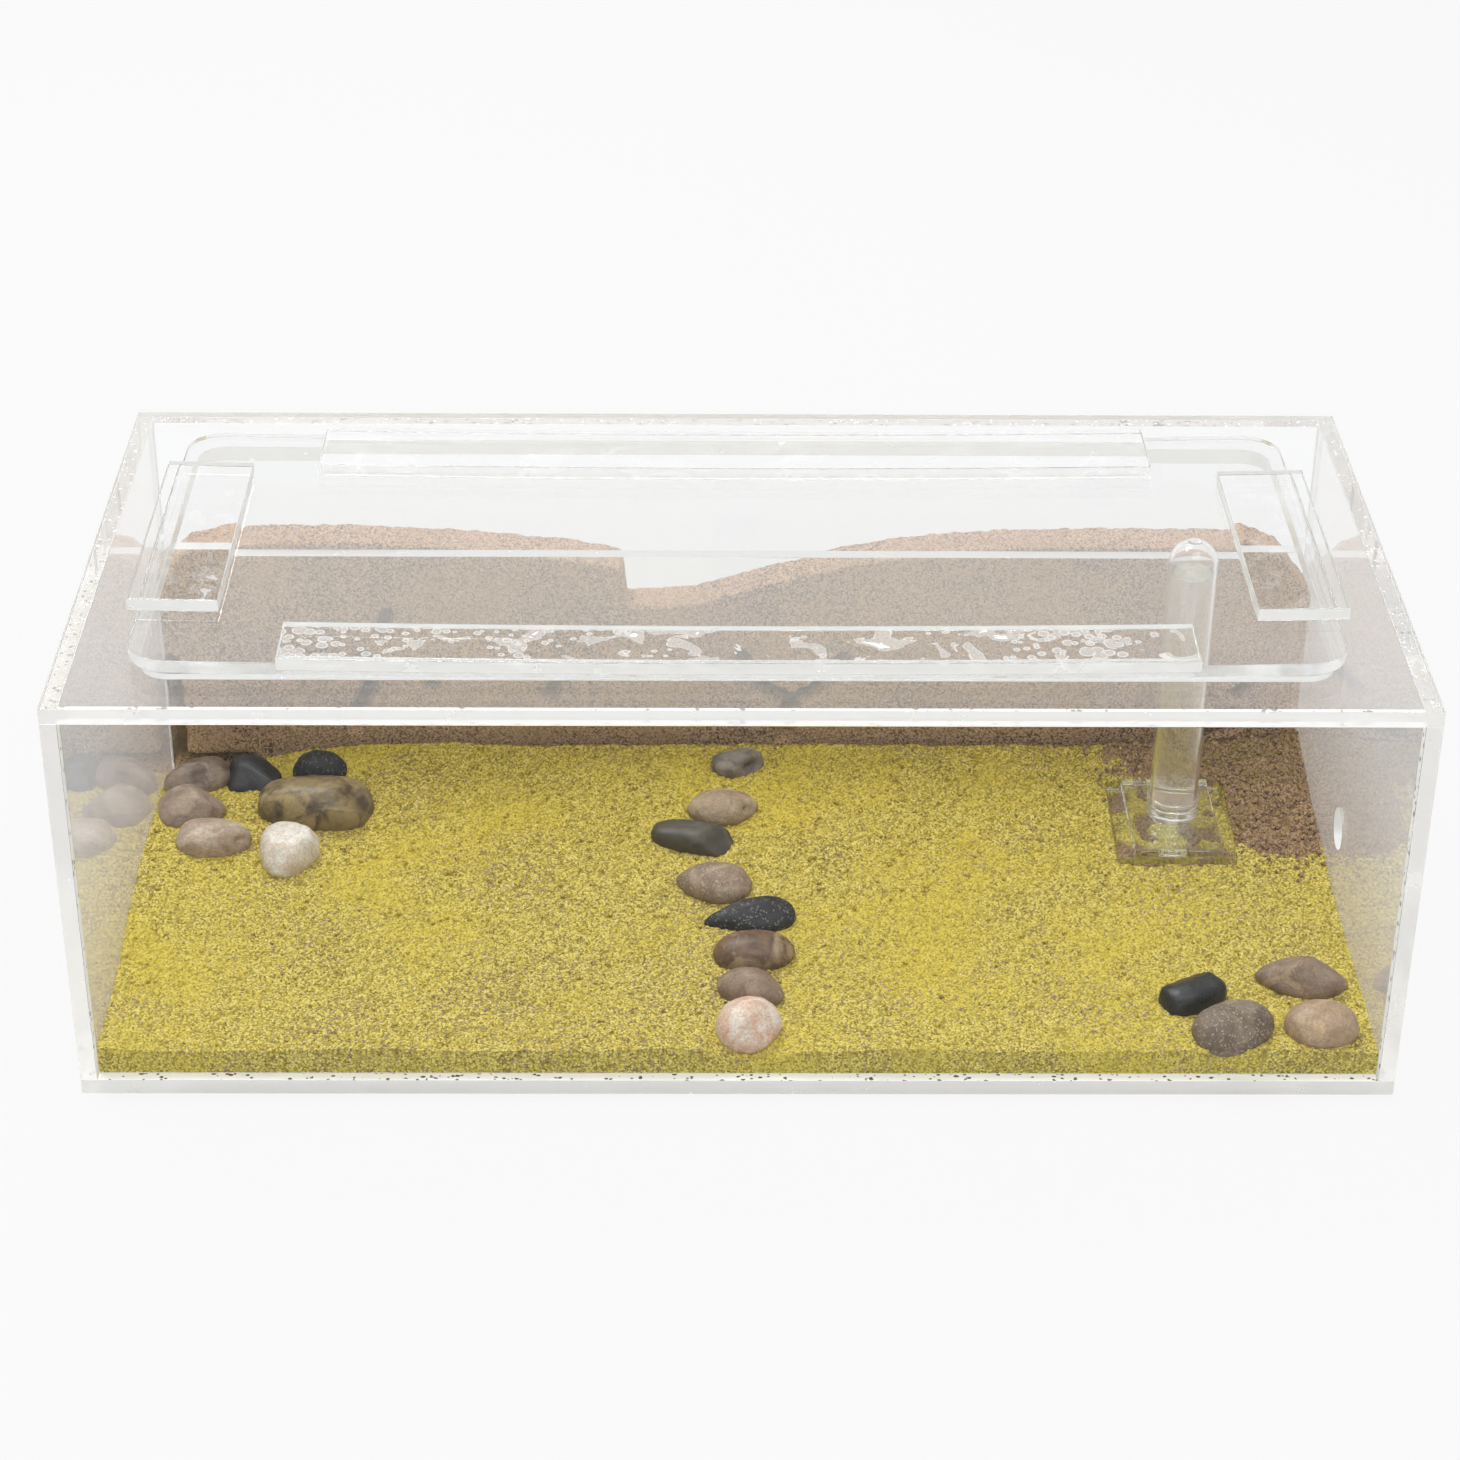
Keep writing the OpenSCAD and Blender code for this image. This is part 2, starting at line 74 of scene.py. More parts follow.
def swell(x, y, cx, cy, rx, ry):
    return math.exp(-(((x - cx) / rx) ** 2) - ((y - cy) / ry) ** 2)


def sand_z(x, y):
    """Height of the arena sand's smooth surface."""
    return (
        FLOOR_Z
        + 8.6
        + 9.4 * max(0.0, (y - FRONT_Y) / ARENA_W) ** 2.5
        + 5.0 * swell(x, y, -INNER_L / 2, FRONT_Y + ARENA_W / 2, 24, 34)
        - 6.0 * swell(x, y, -INNER_L / 2, DIVIDER_Y, 34, 22)
        + 0.5 * math.sin(math.radians(4 * x + 30)) * math.sin(math.radians(5 * y))
    )


def dug_z(x, y):
    """Height of the dug-out sand that is heaped in the right rear corner."""
    return sand_z(x, y) + 4.0 * swell(x, y, INNER_L / 2 + 5, DIVIDER_Y - 3, 30, 30)


def bow(x):
    """How much higher the lid stands at x than at its middle."""
    return BOW_R - math.sqrt(BOW_R**2 - (x - LID_X) ** 2)


FOOT_Z = sand_z(*FEEDER) - 1.5
DISH_Z = FOOT_Z + PLATE_T
MOUTH_Z = DISH_Z + PLATE_T + 0.3 + 1.0
TUBE_L = LID_Z - 14.0 - 0.4 - MOUTH_Z

# ---------------------------------------------------------------- helpers


def linear(hex_colour):
    """An sRGB hex value as linear RGBA."""
    parts = [int(hex_colour[i : i + 2], 16) / 255 for i in (1, 3, 5)]
    return [c / 12.92 if c <= 0.04045 else ((c + 0.055) / 1.055) ** 2.4 for c in parts] + [1.0]


def add(tree, kind, inputs=None, **settings):
    """Adds a node with its settings; an input takes a value or another node's output."""
    made = tree.nodes.new(kind)
    for name, value in settings.items():
        setattr(made, name, value)
    for name, value in (inputs or {}).items():
        if isinstance(value, bpy.types.NodeSocket):
            tree.links.new(value, made.inputs[name])
        else:
            made.inputs[name].default_value = value
    return made


def new_material(name):
    material = bpy.data.materials.new(name)
    material.use_nodes = True
    material.node_tree.nodes.clear()
    return material, material.node_tree


def start_clean():
    """Leaves edit mode and selects nothing."""
    if bpy.context.object is not None and bpy.context.object.mode != "OBJECT":
        bpy.ops.object.mode_set(mode="OBJECT")
    bpy.ops.object.select_all(action="DESELECT")


def take(piece):
    start_clean()
    piece.select_set(True)
    bpy.context.view_layer.objects.active = piece
    return piece


def settle(piece):
    """Puts the piece's place, turn and scale into its mesh."""
    take(piece)
    bpy.ops.object.transform_apply(location=True, rotation=True, scale=True)
    return piece


def apply_modifier(piece, kind, **settings):
    take(piece)
    modifier = piece.modifiers.new(kind.lower(), kind)
    for name, value in settings.items():
        setattr(modifier, name, value)
    bpy.ops.object.modifier_apply(modifier=modifier.name)


def to_metres(piece):
    """The last step of every piece: millimetres become metres, with the object at the origin."""
    settle(piece)
    piece.data.transform(Matrix.Scale(0.001, 4))
    piece.data.update()
    return piece


def hand_over(piece, body, replaced=(), materials=()):
    """Dresses a finished piece and lets it ride on its body."""
    to_metres(piece)
    for material in materials:
        piece.data.materials.append(material)
    if replaced:
        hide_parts(*replaced)
    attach(piece, body)
    return piece


# ---------------------------------------------------------------- materials


def object_coordinates(tree):
    return add(tree, "ShaderNodeTexCoord").outputs["Object"]


def let_light_in(tree, shader, tint):
    """Lamps and bounced light pass the clear pieces straight, so that what is inside is lit."""
    path = add(tree, "ShaderNodeLightPath")
    either = add(tree, "ShaderNodeMath",
            {0: path.outputs["Is Shadow Ray"], 1: path.outputs["Is Diffuse Ray"]}, operation="MAXIMUM")
    clear = add(tree, "ShaderNodeBsdfTransparent", {"Color": linear(tint)})
    mixed = add(tree, "ShaderNodeMixShader", {0: either.outputs[0], 1: shader, 2: clear.outputs[0]})
    add(tree, "ShaderNodeOutputMaterial", {"Surface": mixed.outputs[0]})


def cast_acrylic(name="cast_acrylic", ior=1.49, colour="#FDFEFE", clear=1.0):
    """Cast acrylic sheet, polished: water-clear, with hard mirror-like reflections. A clear
    below 1 leaves the thin milky veil of fine wiping scratches and dust."""
    material, tree = new_material(name)
    face = add(tree, "ShaderNodeBsdfPrincipled", {"Base Color": linear(colour), "Roughness": 0.0, "IOR": ior,
            "Transmission Weight": clear})
    let_light_in(tree, face.outputs[0], "#FAFBFB")
    return material


def lower_toned_acrylic():
    """The end walls: cast acrylic whose faint veil is browner and darker towards the floor."""
    material, tree = new_material("wall_acrylic_darker_towards_floor")
    height = add(tree, "ShaderNodeSeparateXYZ", {0: object_coordinates(tree)}).outputs["Z"]
    height_share = add(tree, "ShaderNodeMapRange", {"Value": height, 1: 0.012, 2: 0.09, 3: 0.0, 4: 1.0})
    film = add(tree, "ShaderNodeMix", {0: height_share.outputs[0], 6: linear("#D4CAC1"), 7: linear("#F9F7F6")},
            data_type="RGBA")
    face = add(tree, "ShaderNodeBsdfPrincipled", {"Base Color": film.outputs[2], "Roughness": 0.0,
            "IOR": 1.49, "Transmission Weight": 0.9})
    let_light_in(tree, face.outputs[0], "#FAFBFB")
    return material


def milled_acrylic():
    """Acrylic edges as the cutter leaves them: milky, with tool chatter too fine to see."""
    material, tree = new_material("milled_acrylic_edge")
    where = object_coordinates(tree)
    streaks = add(tree, "ShaderNodeTexNoise", {"Vector": where, "Scale": 90.0, "Detail": 4.0,
            "Roughness": 0.6})
    rough = add(tree, "ShaderNodeMapRange", {"Value": streaks.outputs[0], 1: 0.3, 2: 0.7, 3: 0.1, 4: 0.3})
    face = add(tree, "ShaderNodeBsdfPrincipled", {"Base Color": linear("#F7F6F4"), "IOR": 1.49,
            "Transmission Weight": 0.35, "Roughness": rough.outputs[0]})
    let_light_in(tree, face.outputs[0], "#F4F5F4")
    return material


def cemented_acrylic(name, speck_mm, specks, speck, film_colour, film):
    """A face that solvent cement has welded to the next sheet: under a thin film of dried
    cement, with specks of trapped air or sand of half to one millimetre."""
    material, tree = new_material(name)
    where = object_coordinates(tree)
    cells = add(tree, "ShaderNodeTexVoronoi", {"Vector": where, "Scale": 1000.0 / speck_mm})
    picked = add(tree, "ShaderNodeSeparateColor", {"Color": cells.outputs["Color"]})
    size = add(tree, "ShaderNodeMapRange", {"Value": picked.outputs[0], 1: 1.0 - specks, 2: 1.0, 3: 0.0,
            4: 0.75})
    inside = add(tree, "ShaderNodeMath", {0: cells.outputs["Distance"], 1: size.outputs[0]},
            operation="LESS_THAN")
    veil = add(tree, "ShaderNodeMath", {0: inside.outputs[0], 1: film}, operation="MAXIMUM")
    shade = add(tree, "ShaderNodeMix", {0: inside.outputs[0], 6: linear(film_colour), 7: linear(speck)},
            data_type="RGBA")
    clear = add(tree, "ShaderNodeBsdfTransparent", {"Color": linear("#FFFFFF")})
    dry = add(tree, "ShaderNodeBsdfDiffuse", {"Color": shade.outputs[2]})
    mixed = add(tree, "ShaderNodeMixShader", {0: veil.outputs[0], 1: clear.outputs[0], 2: dry.outputs[0]})
    let_light_in(tree, mixed.outputs[0], "#FAFAFA")
    return material


def strip_cement(name, loose, foam, share_of_smears=1.0):
    """The cement under the lid's strips: clear where it wetted the sheet, elsewhere flat round
    air bubbles of 1 to 3 mm with a thin bright rim, crowded into foam near both ends, and a
    few white smears. Loose says how large the stray bubbles grow, foam the crowded ones and
    share_of_smears how strongly the smears show."""
    material, tree = new_material(name)
    where = object_coordinates(tree)
    along = add(tree, "ShaderNodeSeparateXYZ", {0: where}).outputs["X"]
    bubbles = add(tree, "ShaderNodeTexVoronoi", {"Vector": where, "Scale": 250.0}, voronoi_dimensions="2D")
    picked = add(tree, "ShaderNodeSeparateColor", {"Color": bubbles.outputs["Color"]})
    drift = add(tree, "ShaderNodeTexNoise", {"Vector": where, "Scale": 38.0, "Detail": 2.0})
    some = add(tree, "ShaderNodeMapRange", {"Value": drift.outputs[0], 1: 0.44, 2: 0.66, 3: 0.0, 4: loose})
    crowd = add(tree, "ShaderNodeMapRange", {"Value": along, 1: -0.13, 2: -0.085, 3: foam, 4: 0.0})
    right = add(tree, "ShaderNodeMapRange", {"Value": along, 1: 0.065, 2: 0.1, 3: 0.0, 4: foam})
    wet = add(tree, "ShaderNodeMath", {0: along, 1: 0.113}, operation="LESS_THAN")
    ended = add(tree, "ShaderNodeMath", {0: right.outputs[0], 1: wet.outputs[0]}, operation="MULTIPLY")
    most = add(tree, "ShaderNodeMath", {0: some.outputs[0], 1: crowd.outputs[0]}, operation="MAXIMUM")
    most = add(tree, "ShaderNodeMath", {0: most.outputs[0], 1: ended.outputs[0]}, operation="MAXIMUM")
    share = add(tree, "ShaderNodeMapRange", {"Value": picked.outputs[0], 1: 0.0, 2: 1.0, 3: 0.35, 4: 1.0})
    radius = add(tree, "ShaderNodeMath", {0: share.outputs[0], 1: most.outputs[0]}, operation="MULTIPLY")
    off_rim = add(tree, "ShaderNodeMath", {0: bubbles.outputs["Distance"], 1: radius.outputs[0]},
            operation="SUBTRACT")
    inside = add(tree, "ShaderNodeMath", {0: off_rim.outputs[0], 1: 0.0}, operation="LESS_THAN")
    rim = add(tree, "ShaderNodeMath", {0: off_rim.outputs[0], 1: 0.0, 2: 0.06}, operation="COMPARE")
    big = add(tree, "ShaderNodeMath", {0: radius.outputs[0], 1: 0.12}, operation="GREATER_THAN")
    drawn = add(tree, "ShaderNodeMath", {0: rim.outputs[0], 1: big.outputs[0]}, operation="MULTIPLY")
    strong = add(tree, "ShaderNodeMath", {0: drawn.outputs[0], 1: 0.3}, operation="MULTIPLY")
    faint = add(tree, "ShaderNodeMath", {0: inside.outputs[0], 1: 0.14}, operation="MULTIPLY")
    flow = add(tree, "ShaderNodeTexNoise", {"Vector": where, "Scale": 85.0, "Detail": 3.0, "Distortion": 0.8})
    pooled = add(tree, "ShaderNodeMapRange", {"Value": flow.outputs[0], 1: 0.58, 2: 0.585, 3: 0.0, 4: 0.14})
    shore = add(tree, "ShaderNodeMath", {0: flow.outputs[0], 1: 0.58, 2: 0.007}, operation="COMPARE")
    drawn_shore = add(tree, "ShaderNodeMath", {0: shore.outputs[0], 1: 0.3}, operation="MULTIPLY")
    white = add(tree, "ShaderNodeMapRange", {"Value": flow.outputs[0], 1: 0.7, 2: 0.71, 3: 0.0, 4: 0.75})
    smear = add(tree, "ShaderNodeMath", {0: pooled.outputs[0], 1: drawn_shore.outputs[0]},
            operation="MAXIMUM")
    smear = add(tree, "ShaderNodeMath", {0: smear.outputs[0], 1: white.outputs[0]}, operation="MAXIMUM")
    smear = add(tree, "ShaderNodeMath", {0: smear.outputs[0], 1: share_of_smears}, operation="MULTIPLY")
    either = add(tree, "ShaderNodeMath", {0: faint.outputs[0], 1: strong.outputs[0]}, operation="MAXIMUM")
    veil = add(tree, "ShaderNodeMath", {0: either.outputs[0], 1: smear.outputs[0]}, operation="MAXIMUM")
    clear = add(tree, "ShaderNodeBsdfTransparent", {"Color": linear("#FFFFFF")})
    air = add(tree, "ShaderNodeBsdfDiffuse", {"Color": linear("#FAFAF9")})
    mixed = add(tree, "ShaderNodeMixShader", {0: veil.outputs[0], 1: clear.outputs[0], 2: air.outputs[0]})
    let_light_in(tree, mixed.outputs[0], "#FAFAFA")
    return material


def dry_sand(name, painted_shade_colour, body, pale, patch, fleck, flecks=0.9, grain_mm=0.65, patch_mm=45.0, rear_shade=0.0):
    """Dry quartz sand: matt grains, each of its own tone, in drifts of more and less dust. Shade is painted
    into the colour: in the gaps between grains, on some grains picked at random and in hollows, less where
    dust lies. Real grains are 0.4 mm; they are drawn at 0.65 mm so that they still show from a metre away.
    The attribute hollow says how deep a spot lies among the grains, and so how much painted shade it gets.
    The sand is also painted darker towards the nest, as shade, by the share given last."""
    material, tree = new_material(name)
    where = object_coordinates(tree)
    grains = add(tree, "ShaderNodeTexVoronoi", {"Vector": where, "Scale": 1000.0 / grain_mm})
    shade = add(tree, "ShaderNodeSeparateColor", {"Color": grains.outputs["Color"]})
    lit = add(tree, "ShaderNodeMix", {0: shade.outputs[0], 6: linear(body), 7: linear(pale)},
            data_type="RGBA")
    drift = add(tree, "ShaderNodeTexNoise", {"Vector": where, "Scale": 1000.0 / patch_mm, "Detail": 5.0,
            "Roughness": 0.62})
    dust = add(tree, "ShaderNodeMapRange", {"Value": drift.outputs[0], 1: 0.48, 2: 0.64, 3: 0.0, 4: 0.7})
    dusted = add(tree, "ShaderNodeMix", {0: dust.outputs[0], 6: lit.outputs[2], 7: linear(patch)},
            data_type="RGBA")
    mixed_in = add(tree, "ShaderNodeTexNoise", {"Vector": where, "Scale": 1000.0 / 38.0, "Detail": 3.0,
            "W": 3.0}, noise_dimensions="4D")
    rare = add(tree, "ShaderNodeMapRange", {"Value": mixed_in.outputs[0], 1: 0.45, 2: 0.68, 3: flecks,
            4: flecks - 0.22})
    odd = add(tree, "ShaderNodeMath", {0: shade.outputs[2], 1: rare.outputs[0]}, operation="GREATER_THAN")
    flecked = add(tree, "ShaderNodeMix", {0: odd.outputs[0], 6: dusted.outputs[2], 7: linear(fleck)},
            data_type="RGBA")
    # Painted shade: the colour darkens towards the shade colour in the gaps between grains, on grains picked
    # at random and in hollow spots
    hollow = add(tree, "ShaderNodeAttribute", attribute_name="hollow")
    low = add(tree, "ShaderNodeMapRange", {"Value": hollow.outputs["Fac"], 1: 0.55, 2: 1.0, 3: 0.0, 4: 0.8})
    gap = add(tree, "ShaderNodeMapRange", {"Value": grains.outputs["Distance"], 1: 0.5, 2: 0.85, 3: 0.0,
            4: 0.75})
    under = add(tree, "ShaderNodeMapRange", {"Value": shade.outputs[1], 1: 0.6, 2: 1.0, 3: 0.0, 4: 0.8})
    filled = add(tree, "ShaderNodeMath", {0: dust.outputs[0], 1: -0.4, 2: 1.0}, operation="MULTIPLY_ADD")
    deep = add(tree, "ShaderNodeMath", {0: low.outputs[0], 1: gap.outputs[0]}, operation="MAXIMUM")
    deep = add(tree, "ShaderNodeMath", {0: deep.outputs[0], 1: under.outputs[0]}, operation="MAXIMUM")
    depth = add(tree, "ShaderNodeMath", {0: deep.outputs[0], 1: filled.outputs[0]}, operation="MULTIPLY")
    shadowed = add(tree, "ShaderNodeMix", {0: depth.outputs[0], 6: flecked.outputs[2], 7: linear(painted_shade_colour)},
            data_type="RGBA")
    # Painted shade: the sand is multiplied darker and more olive towards the nest, where it lies in shade
    rearward = add(tree, "ShaderNodeSeparateXYZ", {0: where}).outputs["Y"]
    painted_rear_shade = add(tree, "ShaderNodeMapRange", {"Value": rearward, 1: -0.01, 2: 0.07, 3: 0.0, 4: rear_shade})
    colour = add(tree, "ShaderNodeMix", {0: painted_rear_shade.outputs[0], 6: shadowed.outputs[2], 7: linear("#E6E08C")},
            data_type="RGBA", blend_type="MULTIPLY")
    relief = add(tree, "ShaderNodeBump", {"Height": grains.outputs["Distance"], "Strength": 0.9,
            "Distance": -0.0003})
    face = add(tree, "ShaderNodeBsdfPrincipled", {"Base Color": colour.outputs[2], "Roughness": 0.95,
            "Specular IOR Level": 0.15, "Normal": relief.outputs[0]})
    add(tree, "ShaderNodeOutputMaterial", {"Surface": face.outputs[0]})
    return material


def river_stone(name, body, vein, patch, roughness, speck):
    """A tumbled river pebble: dense fine-grained stone, rubbed to a soft sheen, with clouds and
    veins of its own and fine pits."""
    material, tree = new_material(name)
    where = object_coordinates(tree)
    cloud = add(tree, "ShaderNodeTexNoise", {"Vector": where, "Scale": 130.0, "Detail": 8.0,
            "Roughness": 0.65, "Distortion": 0.6})
    spread = add(tree, "ShaderNodeMapRange", {"Value": cloud.outputs[0], 1: 0.42, 2: 0.62, 3: 0.0, 4: 1.0})
    seam = add(tree, "ShaderNodeTexNoise", {"Vector": where, "Scale": 75.0, "Detail": 5.0, "Roughness": 0.55,
            "Distortion": 1.4})
    lines = add(tree, "ShaderNodeMath", {0: seam.outputs[0], 1: 0.5, 2: 0.018}, operation="COMPARE")
    soft = add(tree, "ShaderNodeMapRange", {"Value": seam.outputs[0], 1: 0.5, 2: 0.64, 3: 0.0, 4: 0.8})
    first = add(tree, "ShaderNodeMix", {0: spread.outputs[0], 6: linear(body), 7: linear(patch)},
            data_type="RGBA")
    second = add(tree, "ShaderNodeMix", {0: soft.outputs[0], 6: first.outputs[2], 7: linear(vein)},
            data_type="RGBA")
    some = add(tree, "ShaderNodeMath", {0: lines.outputs[0], 1: 0.35}, operation="MULTIPLY")
    colour = add(tree, "ShaderNodeMix", {0: some.outputs[0], 6: second.outputs[2], 7: linear(patch)},
            data_type="RGBA")
    grains = add(tree, "ShaderNodeTexVoronoi", {"Vector": where, "Scale": 1000.0 / 0.5})
    picked = add(tree, "ShaderNodeSeparateColor", {"Color": grains.outputs["Color"]})
    grainy = add(tree, "ShaderNodeMapRange", {"Value": picked.outputs[0], 1: 0.0, 2: 1.0, 3: 0.82, 4: 1.16})
    shaded = add(tree, "ShaderNodeMix", {0: 1.0, 6: colour.outputs[2], 7: grainy.outputs[0]},
            data_type="RGBA", blend_type="MULTIPLY")
    last = shaded.outputs[2]
    if speck:
        rare = add(tree, "ShaderNodeMath", {0: picked.outputs[1], 1: 0.9}, operation="GREATER_THAN")
        part = add(tree, "ShaderNodeMath", {0: rare.outputs[0], 1: 0.7}, operation="MULTIPLY")
        last = add(tree, "ShaderNodeMix", {0: part.outputs[0], 6: last, 7: linear(speck)},
                data_type="RGBA").outputs[2]
    pits = add(tree, "ShaderNodeTexNoise", {"Vector": where, "Scale": 700.0, "Detail": 5.0})
    relief = add(tree, "ShaderNodeBump", {"Height": pits.outputs[0], "Strength": 0.35, "Distance": 0.0003})
    sheen = add(tree, "ShaderNodeMapRange", {"Value": pits.outputs[0], 1: 0.3, 2: 0.7, 3: roughness - 0.05,
            4: roughness + 0.2})
    face = add(tree, "ShaderNodeBsdfPrincipled", {"Base Color": last, "Roughness": sheen.outputs[0],
            "Normal": relief.outputs[0], "IOR": 1.5, "Specular IOR Level": 0.4})
    add(tree, "ShaderNodeOutputMaterial", {"Surface": face.outputs[0]})
    return material


acrylic = cast_acrylic()
# Real acrylic bends light by 1.49; the front's lower index keeps its mirror veil off the sand
front_acrylic = cast_acrylic("wiped_front_acrylic", ior=1.22)
lid_acrylic = cast_acrylic("scuffed_lid_acrylic", colour="#F2F2F2", clear=0.895)
strip_acrylic = cast_acrylic("clear_strip_acrylic", colour="#FEFEFE", clear=0.93)
top_acrylic = cast_acrylic("scuffed_top_acrylic", colour="#FAFAFA", clear=0.93)
wall_acrylic = lower_toned_acrylic()
edge_acrylic = milled_acrylic()
joint = cemented_acrylic("cemented_joint", 0.9, 0.1, "#EFEDEA", "#D8D4D1", 0.25)
front_joint = cemented_acrylic("cemented_front_joint", 1.6, 0.2, "#A39A92", "#FFFFFF", 0.85)
floor_joint = cemented_acrylic("cemented_floor_joint", 1.3, 0.2, "#6E5A48", "#FFFEFC", 0.85)
foam = strip_cement("foamed_strip_cement", 0.4, 0.6)
thin_cement = strip_cement("thin_strip_cement", 0.0, 0.0, 0.3)
# Moulded polystyrene bends light more than acrylic, so the tube glints; the polypropylene plug
# has a faint grey tint; sugar water is clear and bends light less than the tube around it
vial_plastic = cast_acrylic("moulded_polystyrene", 1.57, "#FDFDFD", clear=0.97)
plug_plastic = cast_acrylic("moulded_polypropylene_plug", 1.49, "#F4F5F3")
sugar_water = cast_acrylic("sugar_water", 1.34, "#FDFDFB")
yellow_sand = dry_sand("yellow_quartz_sand", "#5A4808", "#CDB440", "#EEDD82", "#DCC64C", "#AE9878",
        flecks=0.99, rear_shade=0.4)
brown_sand = dry_sand("dug_out_brown_sand", "#42301F", "#9E7F5E", "#C4A280", "#A0815F", "#A8913F",
        flecks=0.94, patch_mm=20.0)
packed_sand = dry_sand("packed_nest_sand", "#52392A", "#C69B76", "#E2BB95", "#C49B75", "#6E573E",
        flecks=0.985, patch_mm=30.0)

# ---------------------------------------------------------------- clear sheets


def polish(piece):
    """Rounds the look of the fine chamfers and arcs while every big face stays dead flat."""
    take(piece)
    bpy.ops.object.shade_smooth_by_angle(angle=math.radians(35))
    apply_modifier(piece, "WEIGHTED_NORMAL", weight=100, keep_sharp=True)
    return piece


def sheet(name, low, high, cutter=None, edge=0.25):
    """A sheet between two corners, its edges broken by a fine chamfer, cut through by cutter."""
    start_clean()
    middle = [(a + b) / 2 for a, b in zip(low, high)]
    bpy.ops.mesh.primitive_cube_add(size=1, location=middle)
    piece = bpy.context.object
    piece.name = piece.data.name = name
    piece.scale = [b - a for a, b in zip(low, high)]
    settle(piece)
    if cutter is not None:
        apply_modifier(piece, "BOOLEAN", object=cutter, operation="DIFFERENCE", solver="EXACT")
        bpy.data.objects.remove(cutter)
    apply_modifier(piece, "BEVEL", width=edge, segments=2, limit_method="ANGLE", angle_limit=math.radians(50))
    return piece


def rounded_block(l, w, h, corner, at, segments=12):
    """An upright block with round corners, as a cutter or a lid."""
    start_clean()
    bpy.ops.mesh.primitive_cube_add(size=1, location=at)
    block = bpy.context.object
    block.scale = (l, w, h)
    settle(block)
    bpy.ops.object.mode_set(mode="EDIT")
    bpy.ops.mesh.select_mode(type="EDGE")
    bpy.ops.mesh.select_all(action="DESELECT")
    bpy.ops.object.mode_set(mode="OBJECT")
    for e in block.data.edges:
        a, b = (block.data.vertices[v].co for v in e.vertices)
        e.select = abs(a.z - b.z) > h / 2
    bpy.ops.object.mode_set(mode="EDIT")
    bpy.ops.mesh.bevel(offset=corner, segments=segments, affect="EDGES")
    bpy.ops.object.mode_set(mode="OBJECT")
    return block


def blocks_of(nodes):
    """The boxes of the sheets that could be glued to one another."""
    return {name: (low, high) for name, low, high, *_ in nodes}


def split_at(piece, planes):
    """Cuts the faces where other sheets end on them."""
    take(piece)
    bpy.ops.object.mode_set(mode="EDIT")
    for axis, place in planes:
        co, no = [0, 0, 0], [0, 0, 0]
        co[axis], no[axis] = place, 1
        bpy.ops.mesh.select_all(action="SELECT")
        bpy.ops.mesh.bisect(plane_co=co, plane_no=no)
    bpy.ops.object.mode_set(mode="OBJECT")


def touches(face, name, blocks):
    """The name of the sheet that this face is glued to, if any."""
    probe = face.center + face.normal * 0.3
    for other, (low, high) in blocks.items():
        if other != name and all(a < v < b for a, v, b in zip(low, probe, high)):
            return other
    return None


g = GLUE_GAP
half_l, half_w = BOX_L / 2, BOX_W / 2
in_l = INNER_L / 2
top_z = BOX_H - SHEET
opening = rounded_block(OPENING[0], OPENING[1], 20, OPENING[2], (LID_X, LID_Y, BOX_H - 2.5))
bpy.ops.mesh.primitive_cylinder_add(vertices=72, radius=PORT[2], depth=20,
        location=(half_l - 2.5, PORT[0], PORT[1]), rotation=(0, math.pi / 2, 0))
port_cutter = settle(bpy.context.object)

# name, lowest corner, highest corner, cutter, thin axis
PANELS = [
    ("bottom_panel", (-half_l, -half_w, 0), (half_l, half_w, SHEET), None, 2),
    ("top_panel", (-half_l, -half_w, top_z), (half_l, half_w, BOX_H), opening, 2),
    ("front_panel", (-in_l + g, -half_w, FLOOR_Z + g), (in_l - g, FRONT_Y, top_z - g), None, 1),
    ("rear_panel", (-in_l + g, REAR_Y, FLOOR_Z + g), (in_l - g, half_w, top_z - g), None, 1),
    ("left_wall", (-half_l, -half_w, FLOOR_Z + g), (-in_l, half_w, top_z - g), None, 0),
    ("right_wall", (in_l, -half_w, FLOOR_Z + g), (half_l, half_w, top_z - g), port_cutter, 0),
    ("nest_divider", (-in_l + g, DIVIDER_Y, FLOOR_Z + g), (in_l - g, NEST_Y, DIVIDER_TOP), None, 1),
]
SEAMS = [(0, -in_l), (0, in_l), (1, FRONT_Y), (1, REAR_Y), (1, DIVIDER_Y), (1, NEST_Y), (2, DIVIDER_TOP)]
blocks = blocks_of(PANELS)
FACE = {"top_panel": top_acrylic, "front_panel": front_acrylic, "left_wall": wall_acrylic,
        "right_wall": wall_acrylic}
SEAM_FINISH = {"bottom_panel": 3, "front_panel": 4}
for node, low, high, cutter, thin in PANELS:
    piece = sheet("clear_" + node, low, high, cutter)
    split_at(piece, SEAMS)
    for face in piece.data.polygons:
        other = touches(face, node, blocks) if max(abs(n) for n in face.normal) > 0.99 else None
        if other is not None:
            face.material_index = SEAM_FINISH.get(other, SEAM_FINISH.get(node, 2))
        elif abs(face.normal[thin]) < 0.5:
            face.material_index = 1
    polish(piece)
    hand_over(piece, "box", (node,),
            (FACE.get(node, acrylic), edge_acrylic, joint, floor_joint, front_joint))

# ---------------------------------------------------------------- the lid and its strips

